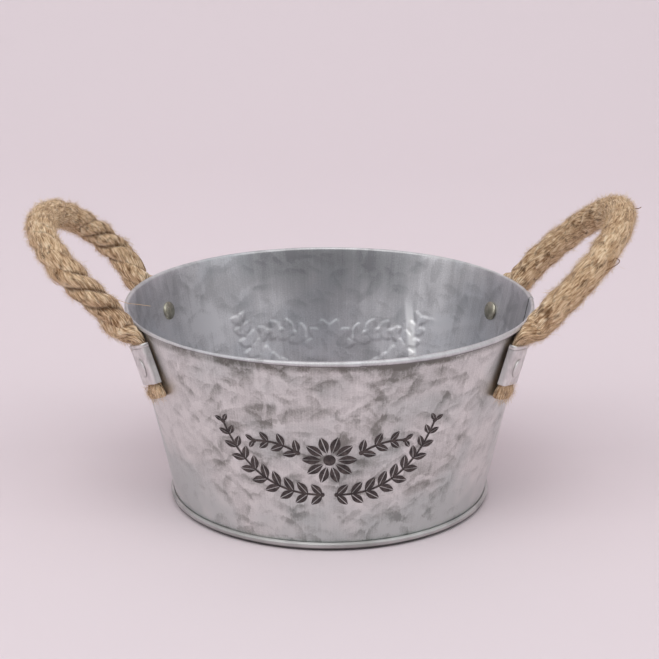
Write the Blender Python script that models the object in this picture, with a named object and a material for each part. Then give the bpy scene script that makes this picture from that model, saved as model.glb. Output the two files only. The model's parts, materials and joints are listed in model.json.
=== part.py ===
"""Low round florist tub of galvanised sheet, with two rope loop handles.

Metres, +Z up. The origin is the middle of the ring that the tub stands on. The front faces -Y, and the
handles are on the X axis, the left one at -X and the right one at +X.
"""

import math

import bmesh
import bpy
from mathutils import Matrix, Vector

# Tub wall: one tapered sheet with a rolled rim
RIM_DIAMETER = 0.202
FOOT_DIAMETER = 0.1594
TUB_HEIGHT = 0.100
SHEET = 0.00035
BEAD_DIAMETER = 0.0023
BEAD_CURL = math.radians(280)

# Side seam: the ends of the sheet lap inside the right-hand side
LAP_ANGLE = math.radians(1.8)
LAP_WIDTH = 0.0075
LAP_JOGGLE = 0.004
LAP_EDGE = 0.00015
LAP_END_SLOPE = 0.0008
LAP_RIM_DROP = 0.0036

# Base: a disc double-seamed to the foot of the wall
SEAM_HEIGHT = 0.004
SEAM_GAP = 0.0003
SEAM_BEND = 0.0006
PANEL_RISE = 0.0040
PANEL_BEND = 0.0008

# Clips: sheet channels that press the rope flat against the wall
RIVET_DROP = 0.0195
RIVET_SPREAD = 0.0886
CLIP_WIDTH = 0.020
CLIP_LENGTH = 0.020
CLIP_RISE = 0.0015
CLIP_DEPTH = 0.0050
CLIP_SHEET = 0.0007
CLIP_CORNER = 0.0017
CLIP_SIDE_GAP = 0.0013
CLIP_LIP = 0.0018
CLIP_FLARE = 0.0010

# Rivets
SHANK_DIAMETER = 0.0042
OUTER_HEAD_DIAMETER = 0.0094
OUTER_HEAD_HEIGHT = 0.0008
INNER_HEAD_DIAMETER = 0.0088
INNER_HEAD_HEIGHT = 0.0018
HEAD_EDGE = 0.0003

# Rope
ROPE_DIAMETER = 0.0136
ROPE_RIM_THICKNESS = 0.0076
ROPE_ROUND_BY = 0.014
ROPE_TAIL = 0.006
ROPE_TAIL_SWELL = 0.0005
ROPE_TAIL_SWELL_AT = 0.0036
ROPE_SEAT_DEPTH = 0.0023
ROPE_GATHERED_AT = 0.7
ROPE_TURNS_FROM = 0.35
ROPE_STEP = 0.006
BEND_LIMIT = math.radians(75)
ROUND_SECTION = 2
PRESSED_SECTION = 5

# Clearances
FIT_GAP = 0.0003
HEAD_GAP = 0.0004
RIM_GAP = 0.0009
ROPE_BEND_GAP = 0.0004

# Facets
TUB_SIDES = 64
BEAD_STEPS = 8
FOLD_STEPS = 2
RIVET_SIDES = 16
HEAD_STEPS = 3
ROPE_SIDES = 12
ROPE_END_STEPS = 5
ROPE_BEND_STEPS = 4
ROUTE_STEPS = 8
SHARP_EDGE = math.radians(35)
ON_AXIS = 1e-7

# The clips of a handle lean towards its middle, and its loop rises from the rim at its own angle. The
# route of a loop is how far out from the rim, how far from the middle and how high over the straight
# line to the tip. The other half mirrors it.
HANDLES = {
    "left": {
        "side": -1,
        "lean": math.radians(19),
        "rise": math.radians(45.5),
        "route": [
            (0.0000, 0.0410, 0.0000),
            (0.0100, 0.0425, 0.0021),
            (0.0200, 0.0436, 0.0024),
            (0.0300, 0.0428, 0.0021),
            (0.0392, 0.0395, 0.0016),
            (0.0474, 0.0330, 0.0010),
            (0.0535, 0.0235, 0.0005),
            (0.0568, 0.0120, 0.0001),
            (0.0576, 0.0000, 0.0000),
        ],
    },
    "right": {
        "side": 1,
        "lean": math.radians(12),
        "rise": math.radians(46.6),
        "route": [
            (0.0000, 0.0410, 0.0000),
            (0.0120, 0.0414, 0.0007),
            (0.0252, 0.0397, 0.0003),
            (0.0364, 0.0360, 0.0000),
            (0.0466, 0.0295, 0.0000),
            (0.0547, 0.0205, 0.0000),
            (0.0602, 0.0105, 0.0000),
            (0.0620, 0.0000, 0.0000),
        ],
    },
}

# Worked out from the sizes above
SEAM_PITCH = SHEET + SEAM_GAP
FOOT_RADIUS = FOOT_DIAMETER / 2 - 3 * SEAM_PITCH - SHEET / 2
CURL_RADIUS = (BEAD_DIAMETER - SHEET) / 2
BEAD_CENTRE = Vector((RIM_DIAMETER / 2 - BEAD_DIAMETER / 2, TUB_HEIGHT - BEAD_DIAMETER / 2))
WALL_REACH = BEAD_CENTRE - Vector((FOOT_RADIUS, 0))
TAPER = math.atan2(WALL_REACH.x, WALL_REACH.y) - math.asin(CURL_RADIUS / WALL_REACH.length)
ROPE_RIM_HALF = ROPE_RIM_THICKNESS / 2
CLIP_TOP = CLIP_RISE + CLIP_LENGTH / 2
CLIP_BOTTOM = CLIP_RISE - CLIP_LENGTH / 2
ROPE_FLAT_WIDTH = CLIP_WIDTH - 2 * (CLIP_SHEET + FIT_GAP)
ROPE_FLAT_THICKNESS = CLIP_DEPTH - CLIP_SHEET - 2 * FIT_GAP
HOLE_DIAMETER = SHANK_DIAMETER + 2 * FIT_GAP
HOLE_CUTTER_LENGTH = 4 * CLIP_DEPTH


def clear_scene():
    for old in list(bpy.data.objects):
        bpy.data.objects.remove(old)


def make_material(name, colour, roughness, metallic):
    material = bpy.data.materials.new(name)
    material.use_nodes = True
    shader = material.node_tree.nodes["Principled BSDF"]
    shader.inputs["Base Color"].default_value = (*colour, 1.0)
    shader.inputs["Roughness"].default_value = roughness
    shader.inputs["Metallic"].default_value = metallic
    return material


def add_object(name, bm, material, matrix=None):
    bmesh.ops.recalc_face_normals(bm, faces=bm.faces)
    mesh = bpy.data.meshes.new(name)
    bm.to_mesh(mesh)
    bm.free()
    mesh.shade_smooth()
    mesh.set_sharp_from_angle(angle=SHARP_EDGE)
    mesh.materials.append(material)
    piece = bpy.data.objects.new(name, mesh)
    bpy.context.scene.collection.objects.link(piece)
    if matrix:
        piece.matrix_world = matrix
    return piece


def add_cutter(name, radius, length, matrix):
    bm = bmesh.new()
    bmesh.ops.create_cone(
        bm, cap_ends=True, segments=RIVET_SIDES, radius1=radius, radius2=radius, depth=length
    )
    cutter = add_object(name, bm, bpy.data.materials["cutter"], matrix)
    cutter.hide_render = True
    cutter.display_type = "WIRE"
    return cutter


def cut(piece, cutter):
    boolean = piece.modifiers.new(cutter.name, "BOOLEAN")
    boolean.operation = "DIFFERENCE"
    boolean.object = cutter


# Sheet sections: a path along the middle of the sheet, in radius and height, given its thickness


def fold(before, corner, after, radius):
    """Points of the arc that rounds a corner of a path."""
    back = (before - corner).normalized()
    ahead = (after - corner).normalized()
    half = back.angle(ahead) / 2
    centre = corner + (back + ahead).normalized() * radius / math.sin(half)
    start = corner + back * radius / math.tan(half) - centre
    end = corner + ahead * radius / math.tan(half) - centre
    sweep = math.pi - 2 * half
    points = []
    for step in range(FOLD_STEPS + 1):
        share = step / FOLD_STEPS
        first = math.sin((1 - share) * sweep)
        second = math.sin(share * sweep)
        points.append(centre + (start * first + end * second) / math.sin(sweep))
    return points


def folded_path(corners, radii):
    points = [corners[0]]
    for index, radius in enumerate(radii, start=1):
        points += fold(corners[index - 1], corners[index], corners[index + 1], radius)
    points.append(corners[-1])
    return points


def offset_path(path, distance):
    """The path moved sideways, to the left of its direction where distance is positive."""
    moved = []
    for index, point in enumerate(path):
        before = path[max(index - 1, 0)]
        after = path[min(index + 1, len(path) - 1)]
        sides = []
        for start, end in ((before, point), (point, after)):
            if start != end:
                run = (end - start).normalized()
                sides.append(Vector((-run.y, run.x)))
        normal = sum(sides, Vector((0, 0))).normalized()
        moved.append(point + normal * distance / normal.dot(sides[0]))
    return moved


def turned(bm, rows, closed):
    """Skin rows of vertices that stand side by side round an axis, each row a profile."""
    count = len(rows[0])
    for row, beside in zip(rows, rows[1:] + rows[:1]):
        for index in range(count if closed else count - 1):
            following = (index + 1) % count
            corners = [row[index], row[following], beside[following], beside[index]]
            bm.faces.new(list(dict.fromkeys(corners)))


def profile_rows(bm, profile, angles):
    """A row of vertices at each angle. Points on the axis are shared by all the rows."""
    poles = {index: bm.verts.new((0, 0, p.y)) for index, p in enumerate(profile) if abs(p.x) < ON_AXIS}
    rows = []
    for angle in angles:
        row = []
        for index, point in enumerate(profile):
            place = (point.x * math.cos(angle), point.x * math.sin(angle), point.y)
            row.append(poles.get(index) or bm.verts.new(place))
        rows.append(row)
    return rows


def wall_radius(height):
    """Radius of the middle of the wall's sheet."""
    return FOOT_RADIUS + height * math.tan(TAPER)


def seam_point(layer, height):
    """A point of the base seam, so many layers out from the wall."""
    return Vector((wall_radius(height) + layer * SEAM_PITCH, height))


def tub_angles(extra=()):
    return sorted([2 * math.pi * step / TUB_SIDES for step in range(TUB_SIDES)] + list(extra))


def add_side_wall(material):
    turn_height = SHEET / 2 + SEAM_PITCH
    along = Vector((math.sin(TAPER), math.cos(TAPER)))
    outward = Vector((math.cos(TAPER), -math.sin(TAPER)))
    lap_bottom = SEAM_HEIGHT + LAP_END_SLOPE
    lap_top = TUB_HEIGHT - LAP_RIM_DROP
    corners = [
        seam_point(2, SEAM_HEIGHT - SHEET / 2 - SEAM_PITCH),
        seam_point(2, turn_height),
        seam_point(0, turn_height),
        seam_point(0, lap_bottom),
    ]
    path = folded_path(corners, [SEAM_BEND, SEAM_BEND])
    for height in (lap_bottom + LAP_END_SLOPE, lap_top - LAP_END_SLOPE, lap_top):
        path.append(seam_point(0, height))
    for step in range(BEAD_STEPS + 1):
        turn = BEAD_CURL * step / BEAD_STEPS
        spoke = along * math.sin(turn) - outward * math.cos(turn)
        path.append(BEAD_CENTRE + spoke * CURL_RADIUS)

    inner = offset_path(path, SHEET / 2)
    outer = offset_path(path, -SHEET / 2)
    profile = inner + outer[::-1]
    lap_points = [
        index
        for index, point in enumerate(inner)
        if lap_bottom + LAP_END_SLOPE / 2 < point.y < lap_top - LAP_END_SLOPE / 2
        and point.x < wall_radius(point.y)
    ]

    radius = wall_radius(TUB_HEIGHT / 2)
    lap_end = LAP_ANGLE + LAP_WIDTH / radius
    steps = [LAP_ANGLE - LAP_EDGE / radius, LAP_ANGLE, lap_end, lap_end + LAP_JOGGLE / radius]
    angles = tub_angles(steps)
    bm = bmesh.new()
    rows = profile_rows(bm, profile, angles)
    for angle, row in zip(angles, rows):
        if LAP_ANGLE <= angle <= lap_end:
            inward = Vector((-math.cos(angle), -math.sin(angle), 0)) * SHEET
            for index in lap_points:
                row[index].co += inward
    turned(bm, rows, closed=True)
    return add_object("side_wall", bm, material)


def add_base_plate(material):
    bottom = SHEET / 2
    top = SEAM_HEIGHT - SHEET / 2
    panel = PANEL_RISE + SHEET / 2
    corners = [
        Vector((0, panel)),
        seam_point(-1, panel),
        seam_point(-1, bottom),
        seam_point(3, bottom),
        seam_point(3, top),
        seam_point(1, top),
        seam_point(1, bottom + 2 * SEAM_PITCH),
    ]
    path = folded_path(corners, [PANEL_BEND] + [SEAM_BEND] * 4)
    profile = offset_path(path, SHEET / 2)[::-1] + offset_path(path, -SHEET / 2)
    # The profile runs from the cover hook's cut end, so it is turned to start and end on the axis
    start = len(path)
    profile = profile[start:] + profile[:start]
    bm = bmesh.new()
    turned(bm, profile_rows(bm, profile, tub_angles()), closed=False)
    return add_object("base_plate", bm, material)


# Places on the wall where a clip is riveted on


def clip_place(side, front, lean):
    """Frame on the wall's outside at a rivet: X across the clip, Y up along it, Z out of the wall."""
    height = TUB_HEIGHT - RIVET_DROP
    radius = wall_radius(height) + SHEET / 2 / math.cos(TAPER)
    swing = math.asin(RIVET_SPREAD / 2 / radius)
    spoke = Vector((side * math.cos(swing), front * math.sin(swing), 0))
    around = Vector((-side * math.sin(swing), front * math.cos(swing), 0))
    up = spoke * math.sin(TAPER) + Vector((0, 0, math.cos(TAPER)))
    out = spoke * math.cos(TAPER) - Vector((0, 0, math.sin(TAPER)))
    along = up * math.cos(lean) - around * math.sin(lean)
    place = Matrix((along.cross(out), along, out)).transposed().to_4x4()
    place.translation = spoke * radius + Vector((0, 0, height))
    return place


def add_clip(name, material, place, shank_cutter):
    face = CLIP_DEPTH - CLIP_SHEET / 2
    half = (CLIP_WIDTH - CLIP_SHEET) / 2
    corners = [
        Vector((-half, CLIP_SIDE_GAP)),
        Vector((-half, face)),
        Vector((half, face)),
        Vector((half, CLIP_SIDE_GAP)),
    ]
    section = folded_path(corners, [CLIP_CORNER, CLIP_CORNER])
    bm = bmesh.new()
    rows = []
    for height, flare in ((CLIP_BOTTOM, 0), (CLIP_TOP - CLIP_LIP, 0), (CLIP_TOP, CLIP_FLARE)):
        row = []
        for point in section:
            rise = flare * (point.y - CLIP_SIDE_GAP) / (face - CLIP_SIDE_GAP)
            row.append(bm.verts.new((point.x, height, point.y + rise)))
        rows.append(row)
    for row, above in zip(rows, rows[1:]):
        for index in range(len(row) - 1):
            bm.faces.new((row[index], row[index + 1], above[index + 1], above[index]))
    clip = add_object(name, bm, material, place)
    solidify = clip.modifiers.new("sheet", "SOLIDIFY")
    solidify.thickness = CLIP_SHEET
    solidify.offset = 0
    solidify.use_even_offset = True
    cut(clip, shank_cutter)
    return clip


def head_points(radius, edge, crown):
    """Half section of a domed rivet head, from its seat to its crown."""
    points = [Vector((radius, edge))]
    for step in range(1, HEAD_STEPS):
        angle = step / HEAD_STEPS * math.pi / 2
        points.append(Vector((radius * math.cos(angle), edge + (crown - edge) * math.sin(angle))))
    points.append(Vector((0, crown)))
    return points


def add_rivet(name, material, place):
    shank = SHANK_DIAMETER / 2
    outer_seat = CLIP_DEPTH + HEAD_GAP
    inner_seat = -SHEET - HEAD_GAP
    outer = head_points(OUTER_HEAD_DIAMETER / 2, outer_seat + HEAD_EDGE, outer_seat + OUTER_HEAD_HEIGHT)
    inner = head_points(INNER_HEAD_DIAMETER / 2, inner_seat - HEAD_EDGE, inner_seat - INNER_HEAD_HEIGHT)
    profile = inner[::-1] + [
        Vector((INNER_HEAD_DIAMETER / 2, inner_seat)),
        Vector((shank, inner_seat)),
        Vector((shank, outer_seat)),
        Vector((OUTER_HEAD_DIAMETER / 2, outer_seat)),
    ]
    profile += outer
    angles = [2 * math.pi * step / RIVET_SIDES for step in range(RIVET_SIDES)]
    bm = bmesh.new()
    turned(bm, profile_rows(bm, profile, angles), closed=False)
    return add_object(name, bm, material, place)


# Rope: rings along a route, flattened under the clips and round in the hand


def rope_ring(bm, centre, across, through, half_width, half_thickness, squareness):
    """One ring of the rope. Squareness 2 is an ellipse, and more is nearer to a rectangle."""
    ring = []
    for step in range(ROPE_SIDES):
        angle = 2 * math.pi * (step + 0.5) / ROPE_SIDES
        x = math.copysign(abs(math.cos(angle)) ** (2 / squareness), math.cos(angle))
        y = math.copysign(abs(math.sin(angle)) ** (2 / squareness), math.sin(angle))
        ring.append(bm.verts.new(centre + across * x * half_width + through * y * half_thickness))
    return ring


def skin_rings(bm, rings):
    for ring, beyond in zip(rings, rings[1:]):
        for index in range(ROPE_SIDES):
            following = (index + 1) % ROPE_SIDES
            bm.faces.new((ring[index], ring[following], beyond[following], beyond[index]))
    bm.faces.new(rings[0])
    bm.faces.new(rings[-1])


def smooth(share):
    share = min(max(share, 0), 1)
    return share * share * (3 - 2 * share)


def mix(first, second, share):
    return first + (second - first) * share


def bend_point(handle):
    """Where a handle's legs bend at the rim, on the front leg's middle line."""
    leg = handle["route"][0][1]
    bead = math.sqrt(BEAD_CENTRE.x**2 - leg**2)
    reach = (ROPE_RIM_HALF + BEAD_DIAMETER / 2 + RIM_GAP) / math.sin(handle["rise"])
    return Vector((handle["side"] * (bead + reach), -leg, BEAD_CENTRE.y))


def add_rope_end(name, material, handle, front, place, cutters):
    """The fixed stretch: cut end, flat under the clip, then out over the rim to the bend."""
    across = place.col[0].to_3d()
    along = place.col[1].to_3d()
    out = place.col[2].to_3d()
    middle = place.translation + out * (FIT_GAP + ROPE_FLAT_THICKNESS / 2)
    half_width = ROPE_FLAT_WIDTH / 2
    half_thickness = ROPE_FLAT_THICKNESS / 2
    bm = bmesh.new()
    rings = []
    tail = (
        (CLIP_BOTTOM - ROPE_TAIL, ROPE_TAIL_SWELL / 2),
        (CLIP_BOTTOM - ROPE_TAIL_SWELL_AT, ROPE_TAIL_SWELL),
        (CLIP_BOTTOM - FIT_GAP, 0),
    )
    for height, swell in tail:
        centre = middle + along * height + out * swell
        sizes = (half_width + swell, half_thickness + swell, PRESSED_SECTION)
        rings.append(rope_ring(bm, centre, across, out, *sizes))

    bend = bend_point(handle)
    bend.y *= -front
    rise = handle["rise"]
    leave = Vector((handle["side"] * math.cos(rise), 0, math.sin(rise)))
    beside = Vector((0, math.copysign(1, across.y), 0))
    mouth = middle + along * (CLIP_TOP - CLIP_LIP)
    seat = bend - leave * ROPE_SEAT_DEPTH
    pull = (seat - mouth).length / 3
    first = mouth + along * pull
    second = seat - leave * pull
    for step in range(ROPE_END_STEPS + 1):
        t = step / ROPE_END_STEPS
        s = 1 - t
        centre = mouth * s**3 + first * 3 * s * s * t + second * 3 * s * t * t + seat * t**3
        ahead = (first - mouth) * s * s + (second - first) * 2 * s * t + (seat - second) * t * t
        ahead.normalize()
        # The rope is gathered first and turned to lie along the bend after, clear of the wall
        gathered = smooth(t / ROPE_GATHERED_AT)
        wide = mix(across, beside, smooth((t - ROPE_TURNS_FROM) / (1 - ROPE_TURNS_FROM)))
        wide = (wide - ahead * wide.dot(ahead)).normalized()
        sizes = (
            mix(half_width, ROPE_DIAMETER / 2, gathered),
            mix(half_thickness, ROPE_RIM_HALF, smooth(t)),
            mix(PRESSED_SECTION, ROUND_SECTION, gathered),
        )
        rings.append(rope_ring(bm, centre, wide, wide.cross(ahead), *sizes))
    skin_rings(bm, rings)
    rope_end = add_object(name, bm, material)
    for cutter in cutters:
        cut(rope_end, cutter)
    return rope_end


def loop_line(route):
    """Even points on a smooth curve through the route and its mirror image, with their directions."""
    knots = [Vector((out, -across, lift)) for out, across, lift in route]
    knots += [Vector((out, across, lift)) for out, across, lift in route[-2::-1]]
    lead = Vector((ROPE_STEP, 0, 0))
    guide = [knots[0] - lead] + knots + [knots[-1] - lead]
    fine = []
    for before, start, end, after in zip(guide, guide[1:], guide[2:], guide[3:]):
        for step in range(ROUTE_STEPS):
            t = step / ROUTE_STEPS
            fine.append(
                start
                + (end - before) * t / 2
                + (before * 2 - start * 5 + end * 4 - after) * t * t / 2
                + (start * 3 - before - end * 3 + after) * t**3 / 2
            )
    fine.append(knots[-1])
    lengths = [0.0]
    for start, end in zip(fine, fine[1:]):
        lengths.append(lengths[-1] + (end - start).length)
    count = round(lengths[-1] / ROPE_STEP)
    line = []
    index = 0
    for step in range(count + 1):
        target = lengths[-1] * step / count
        while index < len(fine) - 2 and lengths[index + 1] < target:
            index += 1
        share = (target - lengths[index]) / (lengths[index + 1] - lengths[index])
        ahead = (fine[index + 1] - fine[index]).normalized()
        line.append((target, fine[index].lerp(fine[index + 1], share), ahead))
    line[0] = (0.0, knots[0], Vector((1, 0, 0)))
    line[-1] = (lengths[-1], knots[-1], Vector((-1, 0, 0)))
    return line


def add_rope_loop(name, material, handle):
    """The loop that swings: rounded ends at the bend, and round rope between them."""
    line = loop_line(handle["route"])
    up = Vector((0, 0, 1))
    half_width = ROPE_DIAMETER / 2
    bm = bmesh.new()
    rings = []

    def rounded_end(place, ahead, turns):
        for turn in turns:
            centre = place - Vector((ROPE_RIM_HALF * math.sin(turn), 0, 0))
            half = ROPE_RIM_HALF * math.cos(turn)
            rings.append(rope_ring(bm, centre, up.cross(ahead), up, half_width, half, ROUND_SECTION))

    turns = [BEND_LIMIT * step / ROPE_BEND_STEPS for step in range(1, ROPE_BEND_STEPS + 1)]
    _, first, leaving = line[0]
    total, last, returning = line[-1]
    rounded_end(first, leaving, turns[::-1])
    for distance, centre, ahead in line:
        share = smooth(min(distance, total - distance) / ROPE_ROUND_BY)
        half = mix(ROPE_RIM_HALF, half_width, share)
        across = up.cross(ahead).normalized()
        rings.append(rope_ring(bm, centre, across, ahead.cross(across), half_width, half, ROUND_SECTION))
    rounded_end(last, returning, turns)
    skin_rings(bm, rings)
    place = Matrix.Rotation(-handle["rise"], 4, "Y")
    if handle["side"] < 0:
        place = Matrix.Rotation(math.pi, 4, "Z") @ place
    bend = bend_point(handle)
    place.translation = (bend.x, 0, bend.z)
    return add_object(name, bm, material, place)


def main():
    clear_scene()
    zinc = make_material("galvanised_sheet", (0.56, 0.56, 0.57), 0.42, 1.0)
    plated = make_material("plated_clip", (0.72, 0.71, 0.70), 0.28, 1.0)
    passivated = make_material("yellow_zinc_rivet", (0.55, 0.53, 0.40), 0.30, 1.0)
    jute = make_material("jute_rope", (0.47, 0.35, 0.21), 0.95, 0.0)
    make_material("cutter", (1.0, 0.2, 0.2), 0.5, 0.0)

    wall = add_side_wall(zinc)
    add_base_plate(zinc)
    for hand, handle in HANDLES.items():
        add_rope_loop(f"{hand}_rope_loop", jute, handle)
        bend = bend_point(handle)
        crosswise = Matrix.Translation((bend.x, 0, bend.z)) @ Matrix.Rotation(math.pi / 2, 4, "X")
        seat_radius = ROPE_RIM_HALF + ROPE_BEND_GAP
        seat_length = 2 * abs(bend.y) + 2 * ROPE_DIAMETER
        seat_cutter = add_cutter(f"{hand}_bend_cutter", seat_radius, seat_length, crosswise)
        for end, front in (("front", -1), ("back", 1)):
            place = clip_place(handle["side"], front, handle["lean"])
            hole = f"{hand}_{end}_hole"
            shank_cutter = add_cutter(hole, HOLE_DIAMETER / 2, HOLE_CUTTER_LENGTH, place)
            cut(wall, shank_cutter)
            add_clip(f"{hand}_{end}_clip", plated, place, shank_cutter)
            add_rivet(f"{hand}_{end}_rivet", passivated, place)
            cutters = (shank_cutter, seat_cutter)
            add_rope_end(f"{hand}_{end}_rope_end", jute, handle, front, place, cutters)


main()
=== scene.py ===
import json
import math

import bmesh
import bpy
import numpy as np
from mathutils import Matrix, Vector
from mathutils.bvhtree import BVHTree


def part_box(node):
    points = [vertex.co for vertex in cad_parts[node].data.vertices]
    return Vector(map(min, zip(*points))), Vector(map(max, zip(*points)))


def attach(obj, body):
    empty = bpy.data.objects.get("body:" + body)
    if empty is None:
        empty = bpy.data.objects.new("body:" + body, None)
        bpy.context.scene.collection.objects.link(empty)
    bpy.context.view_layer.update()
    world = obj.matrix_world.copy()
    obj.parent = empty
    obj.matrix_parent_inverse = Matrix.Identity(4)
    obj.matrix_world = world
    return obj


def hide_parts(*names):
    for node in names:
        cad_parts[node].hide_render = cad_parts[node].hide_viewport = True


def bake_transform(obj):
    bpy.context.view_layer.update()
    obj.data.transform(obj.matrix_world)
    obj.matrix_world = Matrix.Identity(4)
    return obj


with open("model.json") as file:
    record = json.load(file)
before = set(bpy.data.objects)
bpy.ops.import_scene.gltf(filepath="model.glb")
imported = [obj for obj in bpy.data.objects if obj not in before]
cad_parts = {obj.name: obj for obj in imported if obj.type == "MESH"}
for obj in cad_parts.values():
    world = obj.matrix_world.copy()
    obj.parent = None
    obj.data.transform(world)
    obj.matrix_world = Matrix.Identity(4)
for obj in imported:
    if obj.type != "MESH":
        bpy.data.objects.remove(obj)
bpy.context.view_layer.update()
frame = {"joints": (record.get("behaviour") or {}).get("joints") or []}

scene = bpy.context.scene
scene.view_settings.view_transform = "Standard"


def linear(hexColour):
    channels = [int(hexColour[start:start + 2], 16) / 255 for start in (1, 3, 5)]
    return [c / 12.92 if c <= 0.04045 else ((c + 0.055) / 1.055) ** 2.4 for c in channels] + [1.0]


def perMetre(millimetres):  # texture scale for features of this size
    return 1000 / millimetres


def smoothstep(low, high, value):
    share = np.clip((value - low) / (high - low), 0, 1)
    return share * share * (3 - 2 * share)


eased = {"interpolation_type": "SMOOTHSTEP"}  # setting of a range with soft ends
centreColour = (0.5, 0.5, 0.5)  # a noise's or a cell colour's mean


# adds a node with its settings, values, links and ramp stops, and gives back an output socket
def add(tree, kind, inputs=None, output=0, stops=(), **settings):
    made = tree.nodes.new(kind)
    for name, value in settings.items():
        setattr(made, name, value)
    for socket, value in (inputs or {}).items():
        if isinstance(value, bpy.types.NodeSocket):
            tree.links.new(value, made.inputs[socket])
        else:
            made.inputs[socket].default_value = value
    for index, (place, colour) in enumerate(stops):
        ramp = made.color_ramp.elements
        stop = ramp[index] if index < 2 else ramp.new(place)
        stop.position = place
        stop.color = linear(colour)
    return made.outputs[output] if made.outputs else made


def startMaterial(name):
    material = bpy.data.materials.new(name)
    material.use_nodes = True
    material.node_tree.nodes.clear()
    return material, material.node_tree


def putIn(name, data):
    made = bpy.data.objects.new(name, data)
    scene.collection.objects.link(made)
    return made


def makePiece(name, points, faces, material):
    mesh = bpy.data.meshes.new(name)
    mesh.from_pydata(np.asarray(points).tolist(), [], faces)
    mesh.materials.append(material)
    mesh.shade_smooth()
    return putIn(name, mesh)


def giveUv(piece, name, places):  # places: one (u, v) for each vertex
    corners = np.empty(len(piece.data.loops), np.int32)
    piece.data.loops.foreach_get("vertex_index", corners)
    layer = piece.data.uv_layers.new(name=name)
    layer.data.foreach_set("uv", np.asarray(places, np.float32)[corners].ravel())


def giveValue(piece, name, values):
    layer = piece.data.attributes.new(name, "FLOAT", "POINT")
    layer.data.foreach_set("value", np.asarray(values, np.float32))


def giveDirection(piece, name, values):
    layer = piece.data.attributes.new(name, "FLOAT_VECTOR", "POINT")
    layer.data.foreach_set("vector", np.asarray(values, np.float32).ravel())


def readPoints(mesh):
    points = np.empty(len(mesh.vertices) * 3, np.float32)
    mesh.vertices.foreach_get("co", points)
    return points.reshape(-1, 3).astype(float)


def startTree(name, inputs):
    tree = bpy.data.node_groups.new(name, "GeometryNodeTree")
    tree.interface.new_socket("Geometry", in_out="OUTPUT", socket_type="NodeSocketGeometry")
    tree.interface.new_socket("Geometry", in_out="INPUT", socket_type="NodeSocketGeometry")
    for label, kind in inputs.items():
        tree.interface.new_socket(label, in_out="INPUT", socket_type=kind)
    return tree, add(tree, "NodeGroupInput").node.outputs


def runTree(holder, tree, values, name):  # the holder goes, and a plain mesh of the result stays
    modifier = holder.modifiers.new(tree.name, "NODES")
    modifier.node_group = tree
    for item in tree.interface.items_tree:
        if item.in_out == "INPUT" and item.name in values:
            modifier[item.identifier] = values[item.name]
    depsgraph = bpy.context.evaluated_depsgraph_get()
    mesh = bpy.data.meshes.new_from_object(holder.evaluated_get(depsgraph), depsgraph=depsgraph)
    mesh.name = name
    holder.modifiers.remove(modifier)
    bpy.data.objects.remove(holder)
    return putIn(name, mesh)


# Camera

cameraView = {
    "place": (0.0, -0.8617, 0.3526),
    "tiltDown": math.radians(17.31),
    "lens": 99.31,  # mm on a 36 mm sensor
}

camera = putIn("camera", bpy.data.cameras.new("camera"))
camera.data.sensor_width = 36
camera.data.lens = cameraView["lens"]
camera.location = cameraView["place"]
camera.rotation_euler = (math.pi / 2 - cameraView["tiltDown"], 0, 0)
scene.camera = camera

# Studio: a pale pink-grey sweep, soft boxes, and a dim room behind the camera

studio = {
    "table": "#E5D9DD",
    "room": "#EBECF0",
    "roomLevel": 0.62,
    "dimLevel": 0.13,  # behind the camera
    "backdrop": "#E2D6DC",
    "half": 8.0,  # of the sheet's width
    "sweepFrom": 0.75,  # behind the tub the sheet curves up
    "sweepRadius": 1.2,
    "sweepSteps": 20,
    "sweepTop": 1.6,  # straight part above the curve
}
softBoxes = {  # place, aim, width, height, watts
    "keyBox": ((-2.5, -1.6, 2.0), (0, 0, 0.06), 2.8, 2.4, 26),
    "fillBox": ((2.5, -1.6, 2.0), (0, 0, 0.06), 2.8, 2.4, 19),
    "topBox": ((0.0, -1.2, 3.1), (0, 0, 0.0), 2.6, 2.4, 36),
    "backBox": ((0.0, 1.0, 3.2), (0, 1.4, 0.0), 3.0, 1.4, 5),
}


def tableFinish():  # matt coated board: even and shadow-taking, no gloss
    material, tree = startMaterial("mattBoard")
    shader = add(tree, "ShaderNodeBsdfPrincipled", {
        "Base Color": linear(studio["table"]), "Roughness": 1.0, "Specular IOR Level": 0.0})
    add(tree, "ShaderNodeOutputMaterial", {"Surface": shader})
    return material


lines = [(-studio["half"], 0.0)]
for step in range(studio["sweepSteps"] + 1):
    turn = step / studio["sweepSteps"] * math.pi / 2
    lines.append((studio["sweepFrom"] + studio["sweepRadius"] * math.sin(turn),
                  studio["sweepRadius"] * (1 - math.cos(turn))))
lines.append((lines[-1][0], lines[-1][1] + studio["sweepTop"]))
points = [(x, y, z) for y, z in lines for x in (-studio["half"], studio["half"])]
quads = [(k, k + 1, k + 3, k + 2) for k in range(0, len(points) - 2, 2)]
table = makePiece("table", points, quads, tableFinish())

for name, (place, aim, width, height, watts) in softBoxes.items():
    lamp = bpy.data.lights.new(name, "AREA")
    lamp.shape = "RECTANGLE"
    lamp.size = width
    lamp.size_y = height
    lamp.energy = watts
    holder = putIn(name, lamp)
    holder.location = place
    holder.rotation_euler = (Vector(aim) - Vector(place)).to_track_quat("-Z", "Y").to_euler()

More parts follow.
